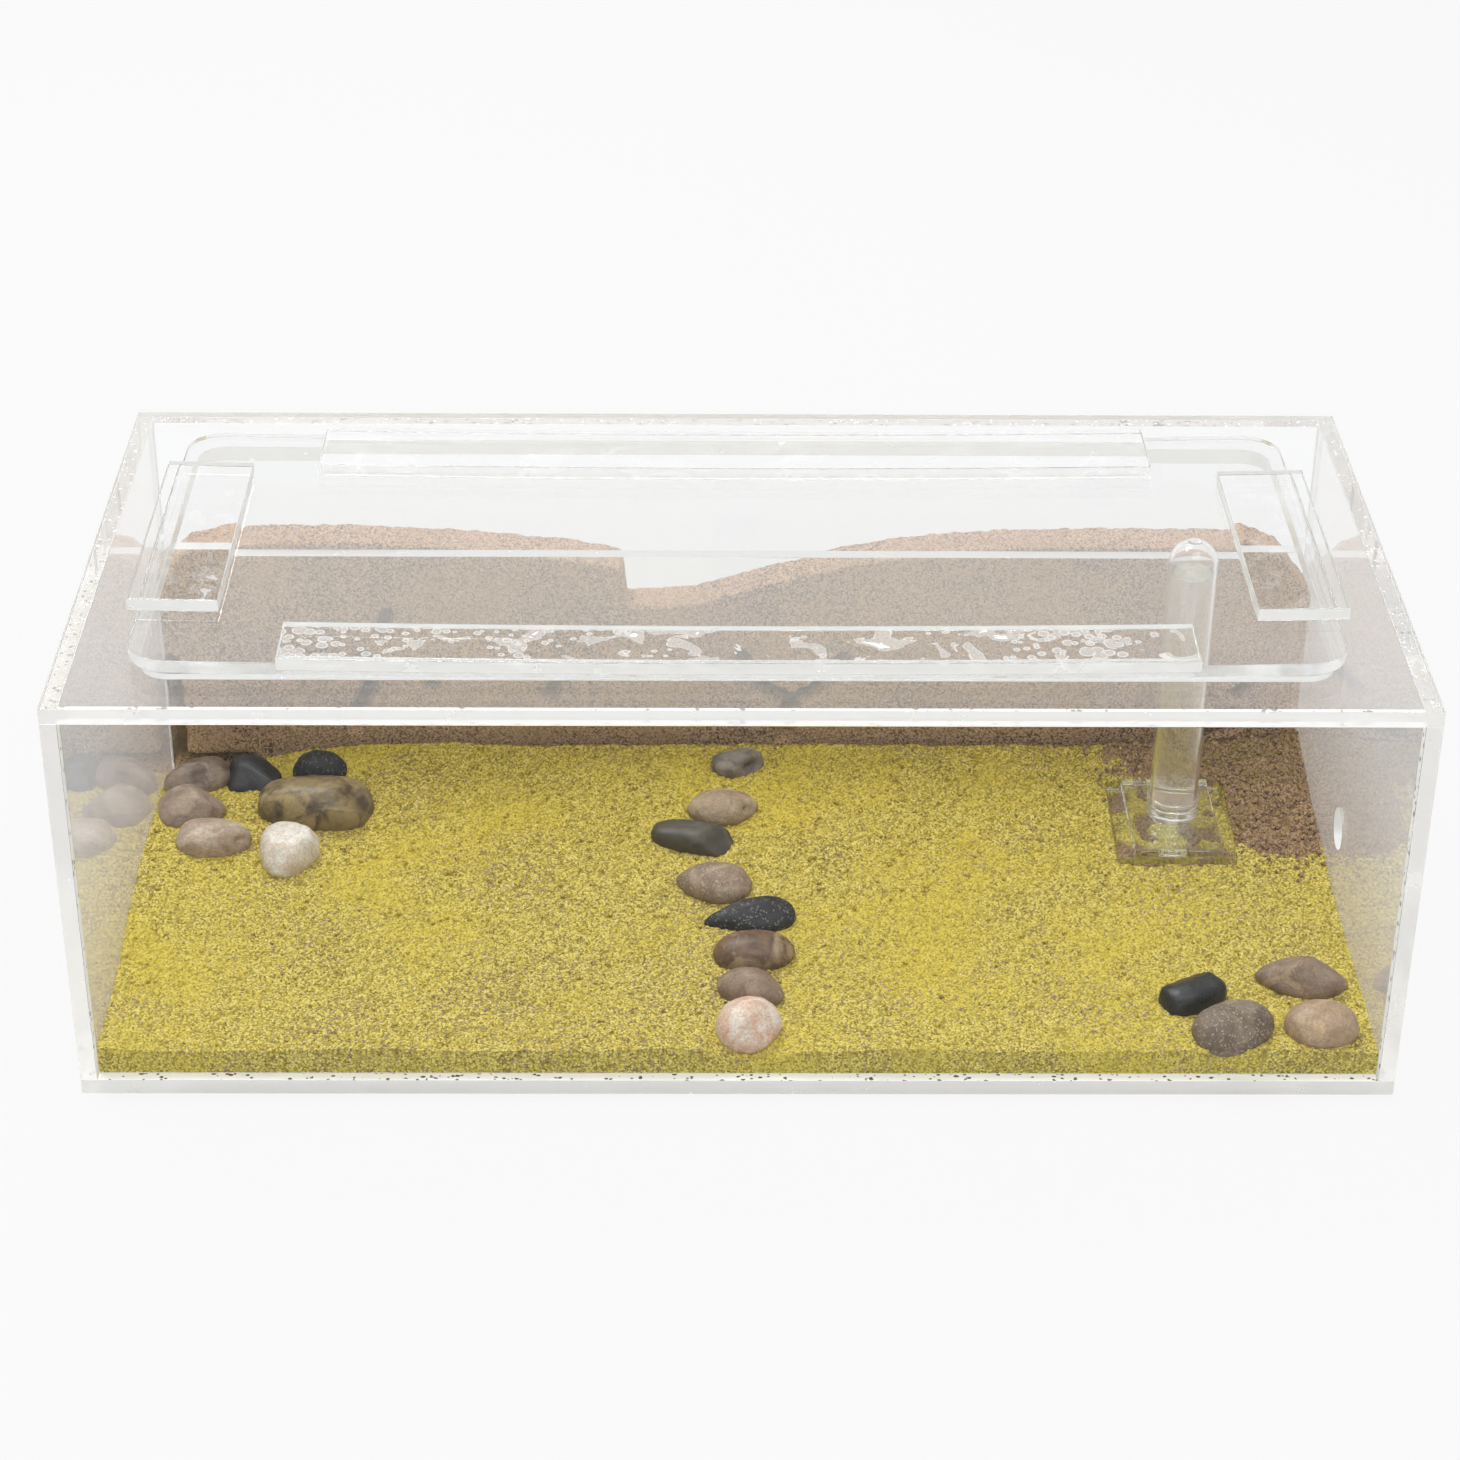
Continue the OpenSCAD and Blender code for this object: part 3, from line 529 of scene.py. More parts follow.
# name, length, width, corner radius, middle x, middle y, underside when flat
LID_PARTS = [
    ("lid_sheet", LID_L, LID_W, LID_CORNER, LID_X, LID_Y, LID_Z),
    ("front_strip", 265.0, 22.0, 0, LID_X, LID_Y - LID_W / 2 - 4.5 + 11.0, GLUED_ON),
    ("rear_strip", 265.0, 27.5, 0, LID_X, LID_Y + LID_W / 2 - 2.5 - 13.75, GLUED_ON),
    ("left_grip", 27.0, 91.0, 0, LID_X - LID_L / 2 - 3.0 + 13.5, LID_Y, GLUED_ON),
    ("right_grip", 27.0, 91.0, 0, LID_X + LID_L / 2 + 3.0 - 13.5, LID_Y - 4.0, GLUED_ON),
]
lid_blocks = blocks_of([
    (name, (x - l / 2, y - w / 2, z), (x + l / 2, y + w / 2, z + LID_T))
    for name, l, w, _, x, y, z in LID_PARTS])


def bowed_plate(node, l, w, corner, at_x, at_y, base_z):
    """A 4 mm plate of the lid: split where the others are glued on, then bowed."""
    if corner:
        piece = rounded_block(l, w, LID_T, corner, (at_x, at_y, base_z + LID_T / 2), 14)
    else:
        start_clean()
        bpy.ops.mesh.primitive_cube_add(size=1, location=(at_x, at_y, base_z + LID_T / 2))
        piece = bpy.context.object
        piece.scale = (l, w, LID_T)
        settle(piece)
    apply_modifier(piece, "BEVEL", width=0.3, segments=2, limit_method="ANGLE", angle_limit=math.radians(50))
    edges = [(axis, place) for name, (low, high) in lid_blocks.items() if name != node
             for axis in (0, 1) for place in (low[axis], high[axis])]
    steps = max(4, int(l / 12))
    split_at(piece, edges + [(0, at_x - l / 2 + i * l / steps) for i in range(1, steps)])
    for face in piece.data.polygons:
        other = touches(face, node, lid_blocks) if abs(face.normal.z) > 0.99 else None
        if other is not None:
            face.material_index = 3 if node == "lid_sheet" and other != "front_strip" else 2
        elif abs(face.normal.z) < 0.1 and not corner:
            face.material_index = 1
    for v in piece.data.vertices:
        v.co.z += bow(v.co.x)
    piece.name = piece.data.name = "clear_" + node
    return polish(piece)


LID_FACE = {"lid_sheet": lid_acrylic, "left_grip": acrylic, "right_grip": acrylic}
for part in LID_PARTS:
    cement = thin_cement if part[0] in ("rear_strip", "left_grip", "right_grip") else foam
    face = LID_FACE.get(part[0], strip_acrylic)
    edge = strip_acrylic if part[0] == "rear_strip" else edge_acrylic
    hand_over(bowed_plate(*part), "lid", (part[0],), (face, edge, cement, thin_cement))

# ---------------------------------------------------------------- sand


def arena_relief(x, y):
    """The loose surface: shallow hollows and drifts, and clumps of 3 to 5 mm."""
    p = Vector((x, y, 0.0))
    drifts = noise.fractal(p / 30.0, 0.6, 2.2, 4)
    clumps = noise.fractal(p / 4.5, 0.5, 2.3, 2)
    return 0.8 * drifts + 0.3 * clumps


def sand_field(name, x0, x1, y0, y1, step, height, grit):
    """A field of sand on a fine grid, closed down its sides to the floor. Each point is raised
    or sunk by up to half of grit, as single grains are."""
    nx, ny = round((x1 - x0) / step), round((y1 - y0) / step)
    start_clean()
    bpy.ops.mesh.primitive_grid_add(x_subdivisions=nx, y_subdivisions=ny, size=1,
            location=((x0 + x1) / 2, (y0 + y1) / 2, 0))
    field = bpy.context.object
    field.scale = (x1 - x0, y1 - y0, 1)
    settle(field)
    rng = random.Random(nx)
    sunk = [rng.random() for _ in field.data.vertices]
    for v, low in zip(field.data.vertices, sunk):
        v.co.z = height(v.co.x, v.co.y) + grit(v.co.y) * (0.5 - low)
    bpy.ops.object.mode_set(mode="EDIT")
    bpy.ops.mesh.select_mode(type="EDGE")
    bpy.ops.mesh.select_all(action="SELECT")
    bpy.ops.mesh.region_to_loop()
    bpy.ops.mesh.extrude_edges_move()
    bpy.ops.object.mode_set(mode="OBJECT")
    for v in field.data.vertices:
        if v.select:
            v.co.z = FLOOR_Z + 0.1
    bpy.ops.object.mode_set(mode="EDIT")
    bpy.ops.mesh.edge_face_add()
    bpy.ops.mesh.select_all(action="SELECT")
    bpy.ops.mesh.normals_make_consistent(inside=False)
    bpy.ops.object.mode_set(mode="OBJECT")
    bpy.ops.object.shade_flat()
    # Along the divider the sand falls away from the sheet into shadow
    sunk = [1.0 if v.co.y > y1 - 1.2 else low for v, low in zip(field.data.vertices, sunk)]
    sunk += [0.5] * (len(field.data.vertices) - len(sunk))
    # The hollow attribute paints shade into the colour where a point is sunk, and full shade along the
    # divider
    field.data.attributes.new("hollow", "FLOAT", "POINT").data.foreach_set("value", sunk)
    field.name = field.data.name = name
    return field


def under_foot(x, y):
    """Whether a point lies below the feeder's foot plate."""
    pocket_x, pocket_y = 19.9, 22.4
    return abs(x - FEEDER[0]) < pocket_x and abs(y - FEEDER[1]) < pocket_y


def carried(x, y):
    """Whether brown nest sand lies strewn at a point below the foot plate."""
    return noise.noise(Vector((x, y, 8)) / 7.0) < 0.02


def arena_height(x, y):
    if under_foot(x, y):
        return FOOT_Z - (1.5 if carried(x, y) else 0.4)
    scooped = 3.5 * swell(x, y, 4.5, FRONT_Y, 10, 8) + 6 * swell(x, y, -in_l, DIVIDER_Y, 40, 12)
    gap = 1.6 * math.exp((y - DIVIDER_Y) / 1.3)
    return sand_z(x, y) + arena_relief(x, y) - scooped - gap


def arena_grit(y):
    """The grains lie coarser towards the nest."""
    return 0.45 + 0.4 * (y - FRONT_Y) / ARENA_W


arena = sand_field("arena_sand_bed", -in_l + SAND_GAP, in_l - SAND_GAP, FRONT_Y + SAND_GAP,
        DIVIDER_Y - SAND_GAP, SAND_STEP, arena_height, arena_grit)
hand_over(arena, "box", ("arena_sand",), (yellow_sand,))

DUG_SPAN = 72.0


def dug_height(x, y):
    """The heap's surface; past its ragged edge it dives under the arena sand."""
    dx, dy = in_l - x, DIVIDER_Y - y
    r = math.hypot(dx, dy)
    a = math.atan2(dy, dx)
    reach = (58 * (1 + 0.07 * math.sin(5 * a + 1) + 0.05 * math.sin(11 * a))
             + 7 * noise.noise(Vector((x, y, 4)) / 7))
    edge = min(0.0, (reach - r) * 0.22)
    if under_foot(x, y):
        return FOOT_Z - 0.75 if carried(x, y) else FLOOR_Z + 1
    return max(dug_z(x, y) + 0.5 + arena_relief(x, y) + edge, FLOOR_Z + 1)


heap = sand_field("dug_out_heap", in_l - DUG_SPAN, in_l - SAND_GAP, DIVIDER_Y - DUG_SPAN,
        DIVIDER_Y - SAND_GAP, SAND_STEP, dug_height, lambda y: 1.3)
hand_over(heap, "box", ("dug_out_sand",), (brown_sand,))

# The nest sand: a slab between divider and rear panel. Its worn top is given as shares of half
# the inner length and of the divider's height, its galleries as chains of points: a share of
# half the inner length, and millimetres above the floor
NEST_TOP = [
    (-1, 0.851), (-0.95, 0.954), (-0.84, 1.017), (-0.7, 1.023), (-0.5, 1.006), (-0.33, 0.972),
    (-0.235, 0.94), (-0.2, 0.922), (-0.193, 0.86), (-0.19, 0.76), (-0.13, 0.757), (-0.06, 0.776),
    (0.08, 0.874), (0.22, 0.948), (0.34, 0.989), (0.5, 1.011), (0.7, 1.017), (0.88, 1.011), (0.94, 0.954),
    (1, 0.793)]
GALLERY_DEPTH = 9.0
GALLERIES = [
    [(-0.651, 43), (-0.641, 33), (-0.672, 22)], [(-0.533, 41), (-0.538, 33)], [(-0.61, 62), (-0.621, 53)],
    [(0.01, 44), (0.046, 34), (0.103, 28), (0.149, 34), (0.19, 43)], [(0.1, 26.8), (0.087, 19)],
    [(0.933, 40), (0.892, 31)], [(0.821, 19), (0.882, 23)], [(-0.308, 38), (-0.328, 30)],
    [(-0.99, 44), (-0.985, 24), (-0.99, 8)], [(-0.98, 8.5), (-0.93, 7), (-0.87, 8)]]


def nest_top(x):
    share = x / in_l
    for (a, za), (b, zb) in zip(NEST_TOP, NEST_TOP[1:]):
        if a <= share <= b:
            return FLOOR_Z + 87.0 * (za + (zb - za) * (share - a) / (b - a))
    return FLOOR_Z + 87.0 * NEST_TOP[-1][1]


def gallery_depth(x, z):
    """How deep the galleries are dug in at a point of the nest's front."""
    best = 1e9
    for chain in GALLERIES:
        for (ax, az), (bx, bz) in zip(chain, chain[1:]):
            a, b, p = Vector((ax * in_l, az)), Vector((bx * in_l, bz)), Vector((x, z))
            t = max(0.0, min(1.0, (p - a).dot(b - a) / (b - a).length_squared))
            best = min(best, (p - a - t * (b - a)).length)
    ragged = 2.5 + 1.2 * noise.noise(Vector((x, z, 9)) / 3.0)
    return GALLERY_DEPTH * max(0.0, min(1.0, (ragged - best) / 0.9 + 0.5))


def nest_slab():
    nx, nz = 390, 84
    start_clean()
    bpy.ops.mesh.primitive_grid_add(x_subdivisions=nx, y_subdivisions=nz, size=1, location=(0, 0, 0))
    slab = bpy.context.object
    slab.scale = (INNER_L - 0.3, 1, 1)
    settle(slab)
    dug = []
    for v in slab.data.vertices:
        x, share = v.co.x, v.co.y + 0.5
        top = nest_top(x) + 0.35 * noise.fractal(Vector((x / 3.0, 3.0, 0)), 0.6, 2.2, 3)
        z = FLOOR_Z + 0.1 + share * (top - FLOOR_Z - 0.1)
        dug.append(gallery_depth(x, z - FLOOR_Z))
        # The border stays flat, so that the sand can't reach out of the rear panel
        inward = min(1.0, in_l - SAND_GAP - abs(x))
        v.co = (x, NEST_Y + 0.12 + inward * dug[-1], z)
    bpy.ops.object.mode_set(mode="EDIT")
    bpy.ops.mesh.select_mode(type="EDGE")
    bpy.ops.mesh.select_all(action="SELECT")
    bpy.ops.mesh.region_to_loop()
    for _ in range(11):
        bpy.ops.mesh.extrude_edges_move(TRANSFORM_OT_translate={"value": (0, 1.24, 0)})
    bpy.ops.mesh.edge_face_add()
    bpy.ops.mesh.select_all(action="SELECT")
    bpy.ops.mesh.normals_make_consistent(inside=False)
    bpy.ops.object.mode_set(mode="OBJECT")
    for v in slab.data.vertices:
        on_top = v.co.z > nest_top(v.co.x) - 2.2
        if on_top and v.co.y > NEST_Y + 0.5:
            p = Vector((v.co.x, v.co.y, 0))
            v.co.z += 0.5 * noise.fractal(p / 6.0, 0.6, 2.2, 4) + 0.35 * noise.noise(p / 1.1) + 0.2
    # The galleries' depth goes into the hollow attribute, which paints shade into them
    dug = [depth / GALLERY_DEPTH for depth in dug] + [0.0] * (len(slab.data.vertices) - len(dug))
    slab.data.attributes.new("hollow", "FLOAT", "POINT").data.foreach_set("value", dug)
    bpy.ops.object.shade_smooth()
    slab.name = slab.data.name = "nest_sand_slab"
    return slab


hand_over(nest_slab(), "box", ("nest_sand",), (packed_sand,))

# ---------------------------------------------------------------- crumbs of sand


def scatter(name, places, body, material):
    """Copies of one angular crumb of caked sand, each with its own size, turn and dents."""
    rng = random.Random(len(places))
    start_clean()
    bpy.ops.mesh.primitive_ico_sphere_add(subdivisions=1, radius=0.5)
    piece = bpy.context.object
    shape = [v.co.copy() for v in piece.data.vertices]
    faces = [tuple(f.vertices) for f in piece.data.polygons]
    verts, polys = [], []
    for x, y, z, size in places:
        turn = Euler([rng.uniform(0, 6.28) for _ in range(3)]).to_matrix()
        start = len(verts)
        for co in shape:
            p = turn @ Vector((co.x, co.y * rng.uniform(0.75, 1.1), co.z * 0.85))
            verts.append(Vector((x, y, z)) + p * size * rng.uniform(0.8, 1.2))
        polys += [tuple(start + i for i in f) for f in faces]
    mesh = bpy.data.meshes.new(name)
    mesh.from_pydata(verts, [], polys)
    piece.data = mesh
    piece.name = mesh.name = name
    take(piece)
    bpy.ops.object.shade_smooth()
    return hand_over(piece, body, (), (material,))


rng = random.Random(7)
yellow_places, brown_places = [], []
for _ in range(3400):
    x, y = rng.uniform(-in_l + 1, in_l - 1), rng.uniform(FRONT_Y + 1, DIVIDER_Y - 1)
    if rng.random() > 0.25 + 0.75 * (y - FRONT_Y) / ARENA_W:
        continue
    size = 0.7 + 1.5 * rng.random() ** 3
    r = math.hypot(in_l - x, DIVIDER_Y - y)
    if r > 62 and not under_foot(x, y):
        yellow_places.append((x, y, arena_height(x, y) + 0.25 * size, size))
for _ in range(1500):
    a, r = rng.uniform(0, math.pi / 2), 78 * math.sqrt(rng.random())
    x, y = in_l - 1 - r * math.cos(a), DIVIDER_Y - 1 - r * math.sin(a)
    size = 0.7 + 1.9 * rng.random() ** 3
    if under_foot(x, y) or (r > 58 and rng.random() < (r - 58) / 20):
        continue
    z = max(dug_height(x, y) if r < 66 else -1, arena_height(x, y))
    brown_places.append((x, y, z + 0.25 * size, size))
scatter("yellow_sand_crumbs", yellow_places, "box", yellow_sand)
scatter("brown_sand_crumbs", brown_places, "box", brown_sand)

# ---------------------------------------------------------------- pebbles

# name: place (x, y, length, breadth, height, turn, shape number), form (how boxy, taper, flats
# worn on it as (bearing, elevation, distance), pits in it as (bearing, elevation, half-width in
# degrees, depth)), look (body, vein, patch, roughness, speck)
PEBBLES = {
    "pebble_01": ((-183.3, 53, 23.5, 16.5, 15, 35, 1), (0.1, 0.25, [(250, 35, 0.78), (60, 60, 0.9)], []),
                  ("#7C6857", "#9A8672", "#5A4839", 0.3, None)),
    "pebble_02": ((-164.4, 54.2, 19.5, 15.5, 13, -10, 2), (0.3, -0.1,
                  [(280, 30, 0.75), (10, 45, 0.7), (200, 20, 0.8)], []),
                  ("#121213", "#3C3E3E", "#0B0B0C", 0.4, None)),
    "pebble_03": ((-141.6, 56, 18.5, 14, 13.2, 0, 3), (0.0, 0.0, [], []),
                  ("#0C0C0B", "#151413", "#070707", 0.62, "#6E675B")),
    "pebble_04": ((-182.2, 33, 22.5, 18.5, 15.5, 10, 4), (0.1, -0.2,
                  [(205, 42, 0.7), (15, 38, 0.74), (270, 20, 0.85)], []),
                  ("#94806E", "#A8947F", "#7B6757", 0.4, None)),
    "pebble_05": ((-172.6, 14.8, 25, 17.5, 14.5, 5, 5), (0.05, -0.25, [(90, 70, 0.9)], [(325, 15, 14, 0.3)]),
                  ("#B19E88", "#C4B29C", "#987F6B", 0.4, None)),
    "pebble_06": ((-141, 35.5, 39, 23, 20, -4, 6), (0.12, 0.1,
                  [(95, 70, 0.88), (350, 25, 0.86)], [(30, 45, 14, 0.12), (0, 35, 10, 0.1)]),
                  ("#8D7951", "#A69263", "#483B2C", 0.34, None)),
    "pebble_07": ((-148, 8.6, 22, 19.5, 17, 80, 7), (0.1, 0.3, [(0, 80, 0.85), (180, 30, 0.88)], []),
                  ("#DCD5C8", "#EEE9DF", "#CCB49F", 0.28, None)),
    "pebble_08": ((1, 60, 18.5, 13, 11, 10, 8), (0.05, -0.1, [(120, 50, 0.85)], [(308, 10, 30, 0.85)]),
                  ("#7C7165", "#958A7B", "#5B5249", 0.55, None)),
    "pebble_09": ((-4.3, 35.5, 24, 18, 13, 6, 9), (-0.08, 0.0, [(80, 60, 0.9)], [(322, 20, 9, 0.25)]),
                  ("#A38C70", "#B9A386", "#8A745A", 0.5, None)),
    "pebble_10": ((-14.6, 19, 28, 13, 11, -16, 10), (0.3, 0.0, [(345, 25, 0.74)], []),
                  ("#4A4336", "#5C5445", "#353025", 0.4, None)),
    "pebble_11": ((-7.4, -5.5, 25, 19, 13.5, -10, 11), (-0.06, 0.28,
                  [(90, 65, 0.92)], [(150, 50, 8, 0.06), (330, 50, 9, 0.06)]),
                  ("#96816B", "#AB967E", "#7F6A57", 0.55, "#B8A48D")),
    "pebble_12": ((4, -23.5, 30, 15.5, 12, 12, 12), (0.0, 0.52, [(290, 40, 0.85)], []),
                  ("#0F0F10", "#1D1D1E", "#090909", 0.5, "#7C7872")),
    "pebble_13": ((5.2, -43.5, 26, 17, 13.5, 4, 13), (0.05, 0.05, [(90, 70, 0.93)], []),
                  ("#745940", "#AD9573", "#4E3929", 0.36, None)),
    "pebble_14": ((3.8, -62.5, 22, 15.5, 13.5, -20, 14), (-0.04, 0.1, [(20, 40, 0.8)], []),
                  ("#8B7460", "#9E8872", "#725C4A", 0.5, None)),
    "pebble_15": ((3.2, -81.8, 21, 18, 18, 20, 15), (0.0, -0.1, [(300, 35, 0.93)], []),
                  ("#D9C7B6", "#E3D6C8", "#CFA389", 0.38, None)),
    "pebble_16": ((141.4, -65.5, 22, 14, 12.5, 30, 16), (0.4, 0.0, [(90, 60, 0.9)], []),
                  ("#141516", "#232526", "#0B0C0D", 0.3, None)),
    "pebble_17": ((151.8, -83, 27, 20, 15.5, 24, 17), (0.02, 0.0, [(90, 70, 0.92)], []),
                  ("#7A6A5A", "#8F7F6D", "#615242", 0.5, "#B3A290")),
    "pebble_18": ((176.6, -57, 29, 17, 15, -8, 18), (-0.08, 0.15,
                  [(150, 58, 0.76), (20, 40, 0.74), (265, 30, 0.86)],
                  [(200, 35, 14, 0.1), (330, 55, 18, 0.12)]),
                  ("#8F7A68", "#B0946F", "#75604E", 0.5, None)),
    "pebble_19": ((179, -81.7, 23, 18, 15.5, 0, 19), (0.02, 0.0, [(90, 80, 0.95)], []),
                  ("#B0967A", "#C4A77F", "#9C8062", 0.36, None)),
}


def soft_min(a, b, blend):
    """The smaller of two values, with the step between them rounded off."""
    h = max(blend - abs(a - b), 0.0) / blend
    return min(a, b) - h * h * blend / 4


def heading(bearing, elevation):
    b, e = math.radians(bearing), math.radians(elevation)
    return Vector((math.cos(b) * math.cos(e), math.sin(b) * math.cos(e), math.sin(e)))


def worn(p, form, shape):
    """A point of the unit ball as the river has left it: squarer, tapered, flattened, dented."""
    boxy, taper, flats, pits = form
    power = 1.0 / (2.0 + 3.0 * boxy)
    size = sum(abs(v) ** (1 / power) for v in p) ** -power
    reach = size
    for bearing, elevation, distance in flats:
        facing = p.dot(heading(bearing, elevation))
        if facing > 0.1:
            reach = soft_min(reach, distance / facing, 0.16)
    for bearing, elevation, wide, depth in pits:
        off = math.degrees(p.angle(heading(bearing, elevation)))
        reach *= 1 - depth * math.exp(-((off / wide) ** 2))
    dents = 1 + 0.045 * noise.fractal(p * 1.2 + Vector((shape * 3.1, 0, 0)), 0.8, 2.1, 4)
    q = p * reach * dents
    narrow = 1 + taper * q.x
    return Vector((q.x, q.y * narrow, q.z * (1 + 0.5 * taper * q.x)))


def pebble(name, place, form, look):
    x, y, l, b, h, turn, shape = place
    start_clean()
    bpy.ops.mesh.primitive_uv_sphere_add(segments=64, ring_count=40, radius=1)
    stone = bpy.context.object
    spots = [worn(v.co.normalized(), form, shape) for v in stone.data.vertices]
    low = [min(q[i] for q in spots) for i in range(3)]
    high = [max(q[i] for q in spots) for i in range(3)]
    for v, q in zip(stone.data.vertices, spots):
        v.co = [size * ((q[i] - low[i]) / (high[i] - low[i]) - 0.5) for i, size in enumerate((l, b, h))]
    stone.rotation_euler = (0, 0, math.radians(turn))
    stone.location = (x, y, sand_z(x, y) + 0.1 * h)
    stone.name = stone.data.name = "tumbled_" + name
    settle(stone)
    bpy.ops.object.shade_smooth()
    hand_over(stone, "box", (name,), (river_stone("river_stone_" + name[-2:], *look),))


for name, (place, form, look) in PEBBLES.items():
    pebble(name, place, form, look)

# ---------------------------------------------------------------- feeder


def lathe(name, profile, at, steps=96):
    """A shape turned about the upright axis through at; profile is [radius, height] pairs."""
    start_clean()
    mesh = bpy.data.meshes.new(name)
    mesh.from_pydata([(r, 0, z) for r, z in profile], [(i, i + 1) for i in range(len(profile) - 1)], [])
    piece = bpy.data.objects.new(name, mesh)
    scene.collection.objects.link(piece)
    take(piece)
    bpy.ops.object.mode_set(mode="EDIT")
    bpy.ops.mesh.select_all(action="SELECT")
    bpy.ops.mesh.spin(steps=steps, angle=2 * math.pi, center=(0, 0, 0), axis=(0, 0, 1))
    bpy.ops.mesh.select_all(action="SELECT")
    bpy.ops.mesh.remove_doubles(threshold=0.001)
    bpy.ops.mesh.delete_loose(use_verts=True, use_edges=True, use_faces=False)
    bpy.ops.mesh.select_all(action="SELECT")
    bpy.ops.mesh.normals_make_consistent(inside=False)
    bpy.ops.object.mode_set(mode="OBJECT")
    piece.location = at
    settle(piece)
    bpy.ops.object.shade_smooth_by_angle(angle=math.radians(35))
    return piece


def arc(cx, cz, r, a0, a1, n):
    return [(max(0.0, cx + r * math.cos(math.radians(a0 + (a1 - a0) * i / n))),
            cz + r * math.sin(math.radians(a0 + (a1 - a0) * i / n))) for i in range(n + 1)]


fx, fy = FEEDER
straight = TUBE_L - TUBE_R
ribs = []
for i in range(3):
    ribs += arc(TUBE_R, 0.7 + 2.6 * i, 0.7, -90, 90, 8)
tube_profile = (
    [(BORE_R, 0.0), (TUBE_R - 0.2, 0.0)] + ribs
    + [(TUBE_R, 12.0), (TUBE_R, straight)]
    + arc(0, straight, TUBE_R, 0, 74, 14)
    + [(2.0, TUBE_L + 0.25), (1.7, TUBE_L + 0.4), (0.0, TUBE_L + 0.4), (0.0, straight + BORE_R)]
    + arc(0, straight, BORE_R, 90, 0, 16)[1:]
    + [(BORE_R, 12.0), (BORE_R, 0.0)]
)
tube = lathe("moulded_feeder_tube", tube_profile, (fx, fy, MOUTH_Z))
hand_over(tube, "feeder", ("feeder_tube",), (vial_plastic,))

plug_profile = [
    (1.6, 5.6), (BORE_R - 0.08, 5.6), (BORE_R - 0.05, 5.4), (BORE_R - 0.05, -0.05), (TUBE_R - 0.15, -0.05),
    (TUBE_R, -0.2), (TUBE_R, -0.85), (TUBE_R - 0.15, -1.0), (5.0, -1.0), (5.0, -3.5), (4.8, -3.7),
    (1.6, -3.7), (1.6, 5.6)]
plug = lathe("bored_plug", plug_profile, (fx, fy, MOUTH_Z), 72)
hand_over(plug, "feeder", ("feeder_plug",), (plug_plastic,))

liquid_profile = [
    (0.0, 5.75), (BORE_R - 0.35, 5.75), (BORE_R - 0.06, 6.0), (BORE_R - 0.06, TUBE_L - 11.0 + 0.5),
    (BORE_R - 0.5, TUBE_L - 11.25), (0.0, TUBE_L - 11.4)]
liquid = lathe("sugar_water_column", liquid_profile, (fx, fy, MOUTH_Z), 72)
hand_over(liquid, "feeder", ("feeder_liquid",), (sugar_water,))

foot_x, foot_y = FOOT_HALF
dish_x, dish_y = DISH_HALF
foot = sheet("clear_feeder_foot", (fx - foot_x, fy - foot_y, FOOT_Z),
        (fx + foot_x, fy + foot_y, DISH_Z - 0.05), None, 0.2)
polish(foot)
hand_over(foot, "box", ("feeder_foot",), (acrylic,))
start_clean()
bpy.ops.mesh.primitive_cylinder_add(vertices=64, radius=5.05, depth=12, location=(fx, fy, DISH_Z + 1.5))
dish = sheet("clear_feeder_dish", (fx - dish_x, fy - dish_y, DISH_Z),
        (fx + dish_x, fy + dish_y, DISH_Z + PLATE_T), settle(bpy.context.object), 0.2)
polish(dish)
hand_over(dish, "box", ("feeder_dish",), (acrylic,))

# ---------------------------------------------------------------- floor, backdrop, light, camera


def seen_directly(tree):
    """1 for the rays of the eye, of mirrors and through clear sheets, which meet plain white."""
    path = add(tree, "ShaderNodeLightPath")
    seen = path.outputs["Is Camera Ray"]
    for ray in ("Is Glossy Ray", "Is Transmission Ray"):
        seen = add(tree, "ShaderNodeMath", {0: seen, 1: path.outputs[ray]}, operation="MAXIMUM").outputs[0]
    return seen


def studio_white():
    """Seamless white paper: it takes the object's shadow and stays pale to the eye and in gloss."""
    material, tree = new_material("seamless_paper")
    share = add(tree, "ShaderNodeMath", {0: seen_directly(tree), 1: 0.92}, operation="MULTIPLY")
    paper = add(tree, "ShaderNodeBsdfDiffuse", {"Color": linear("#F2F2F2")})
    glow = add(tree, "ShaderNodeEmission", {"Color": linear("#F8F8F8"), "Strength": 1.0})
    mixed = add(tree, "ShaderNodeMixShader", {0: share.outputs[0], 1: paper.outputs[0], 2: glow.outputs[0]})
    add(tree, "ShaderNodeOutputMaterial", {"Surface": mixed.outputs[0]})
    return material


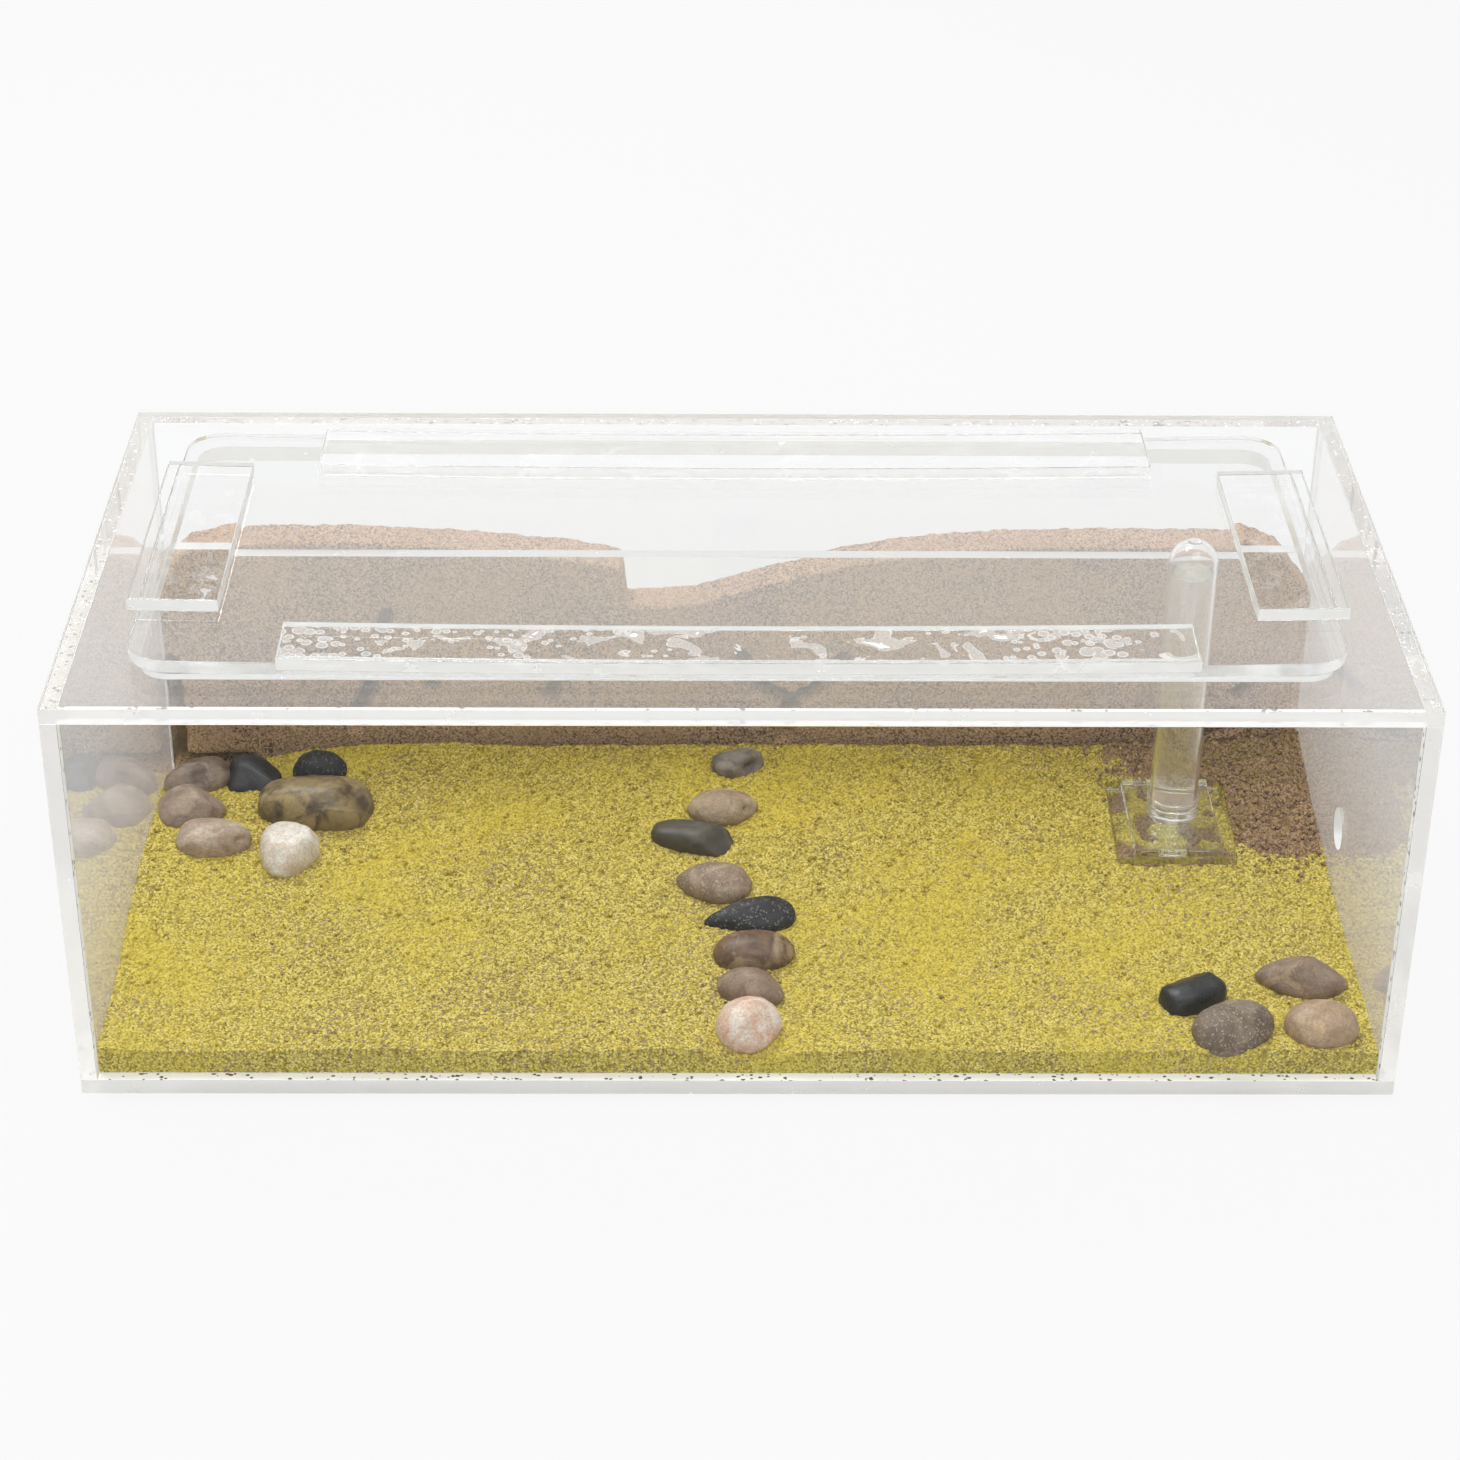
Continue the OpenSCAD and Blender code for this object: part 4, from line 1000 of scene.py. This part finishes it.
start_clean()
bpy.ops.mesh.primitive_plane_add(size=8, location=(0, 0, -0.0006))
floor = bpy.context.object
floor.name = "studio_floor"
floor.data.materials.append(studio_white())

world = bpy.data.worlds.new("studio")
scene.world = world
world.use_nodes = True
tree = world.node_tree
tree.nodes.clear()
soft = add(tree, "ShaderNodeBackground", {"Color": linear("#FFFFFF"), "Strength": 0.55})
white = add(tree, "ShaderNodeBackground", {"Color": linear("#FAFAFA"), "Strength": 1.0})
mixed = add(tree, "ShaderNodeMixShader", {0: seen_directly(tree), 1: soft.outputs[0], 2: white.outputs[0]})
add(tree, "ShaderNodeOutputWorld", {"Surface": mixed.outputs[0]})


def softbox(name, at, aim, size, power):
    start_clean()
    bpy.ops.object.light_add(type="AREA", location=at)
    lamp = bpy.context.object
    lamp.name = name
    lamp.data.shape = "RECTANGLE"
    lamp.data.size, lamp.data.size_y = size
    lamp.data.energy = power
    lamp.rotation_euler = (Vector(aim) - Vector(at)).to_track_quat("-Z", "Y").to_euler()
    return lamp


softbox("rear_left_softbox", (-0.5, 0.75, 1.6), (0, 0, 0.05), (0.9, 0.7), 18)
softbox("front_softbox", (0.3, -0.8, 1.8), (0, 0, 0.05), (1.4, 1.0), 16)

camera = bpy.data.objects.new("studio_camera", bpy.data.cameras.new("studio_camera"))
scene.collection.objects.link(camera)
PITCH, YAW, ROLL = 0.540865, 0.0120545, -0.00843574
forward = Vector((math.sin(YAW) * math.cos(PITCH), math.cos(YAW) * math.cos(PITCH), -math.sin(PITCH)))
right = Vector((math.cos(YAW), -math.sin(YAW), 0))
down = forward.cross(right)
across = math.cos(ROLL) * right + math.sin(ROLL) * down
below = -math.sin(ROLL) * right + math.cos(ROLL) * down
turned = Matrix((across, -below, -forward)).transposed().to_4x4()
turned.translation = (-0.01326, -0.89481, 0.60853)
camera.matrix_world = turned
camera.data.sensor_width = 36
camera.data.lens = 80.56
scene.camera = camera

scene.view_settings.view_transform = "Standard"
# Light runs along inside the sheets by many reflections before it leaves at an edge
scene.cycles.max_bounces = 32
scene.cycles.transmission_bounces = 28
scene.cycles.glossy_bounces = 24
scene.cycles.transparent_max_bounces = 32
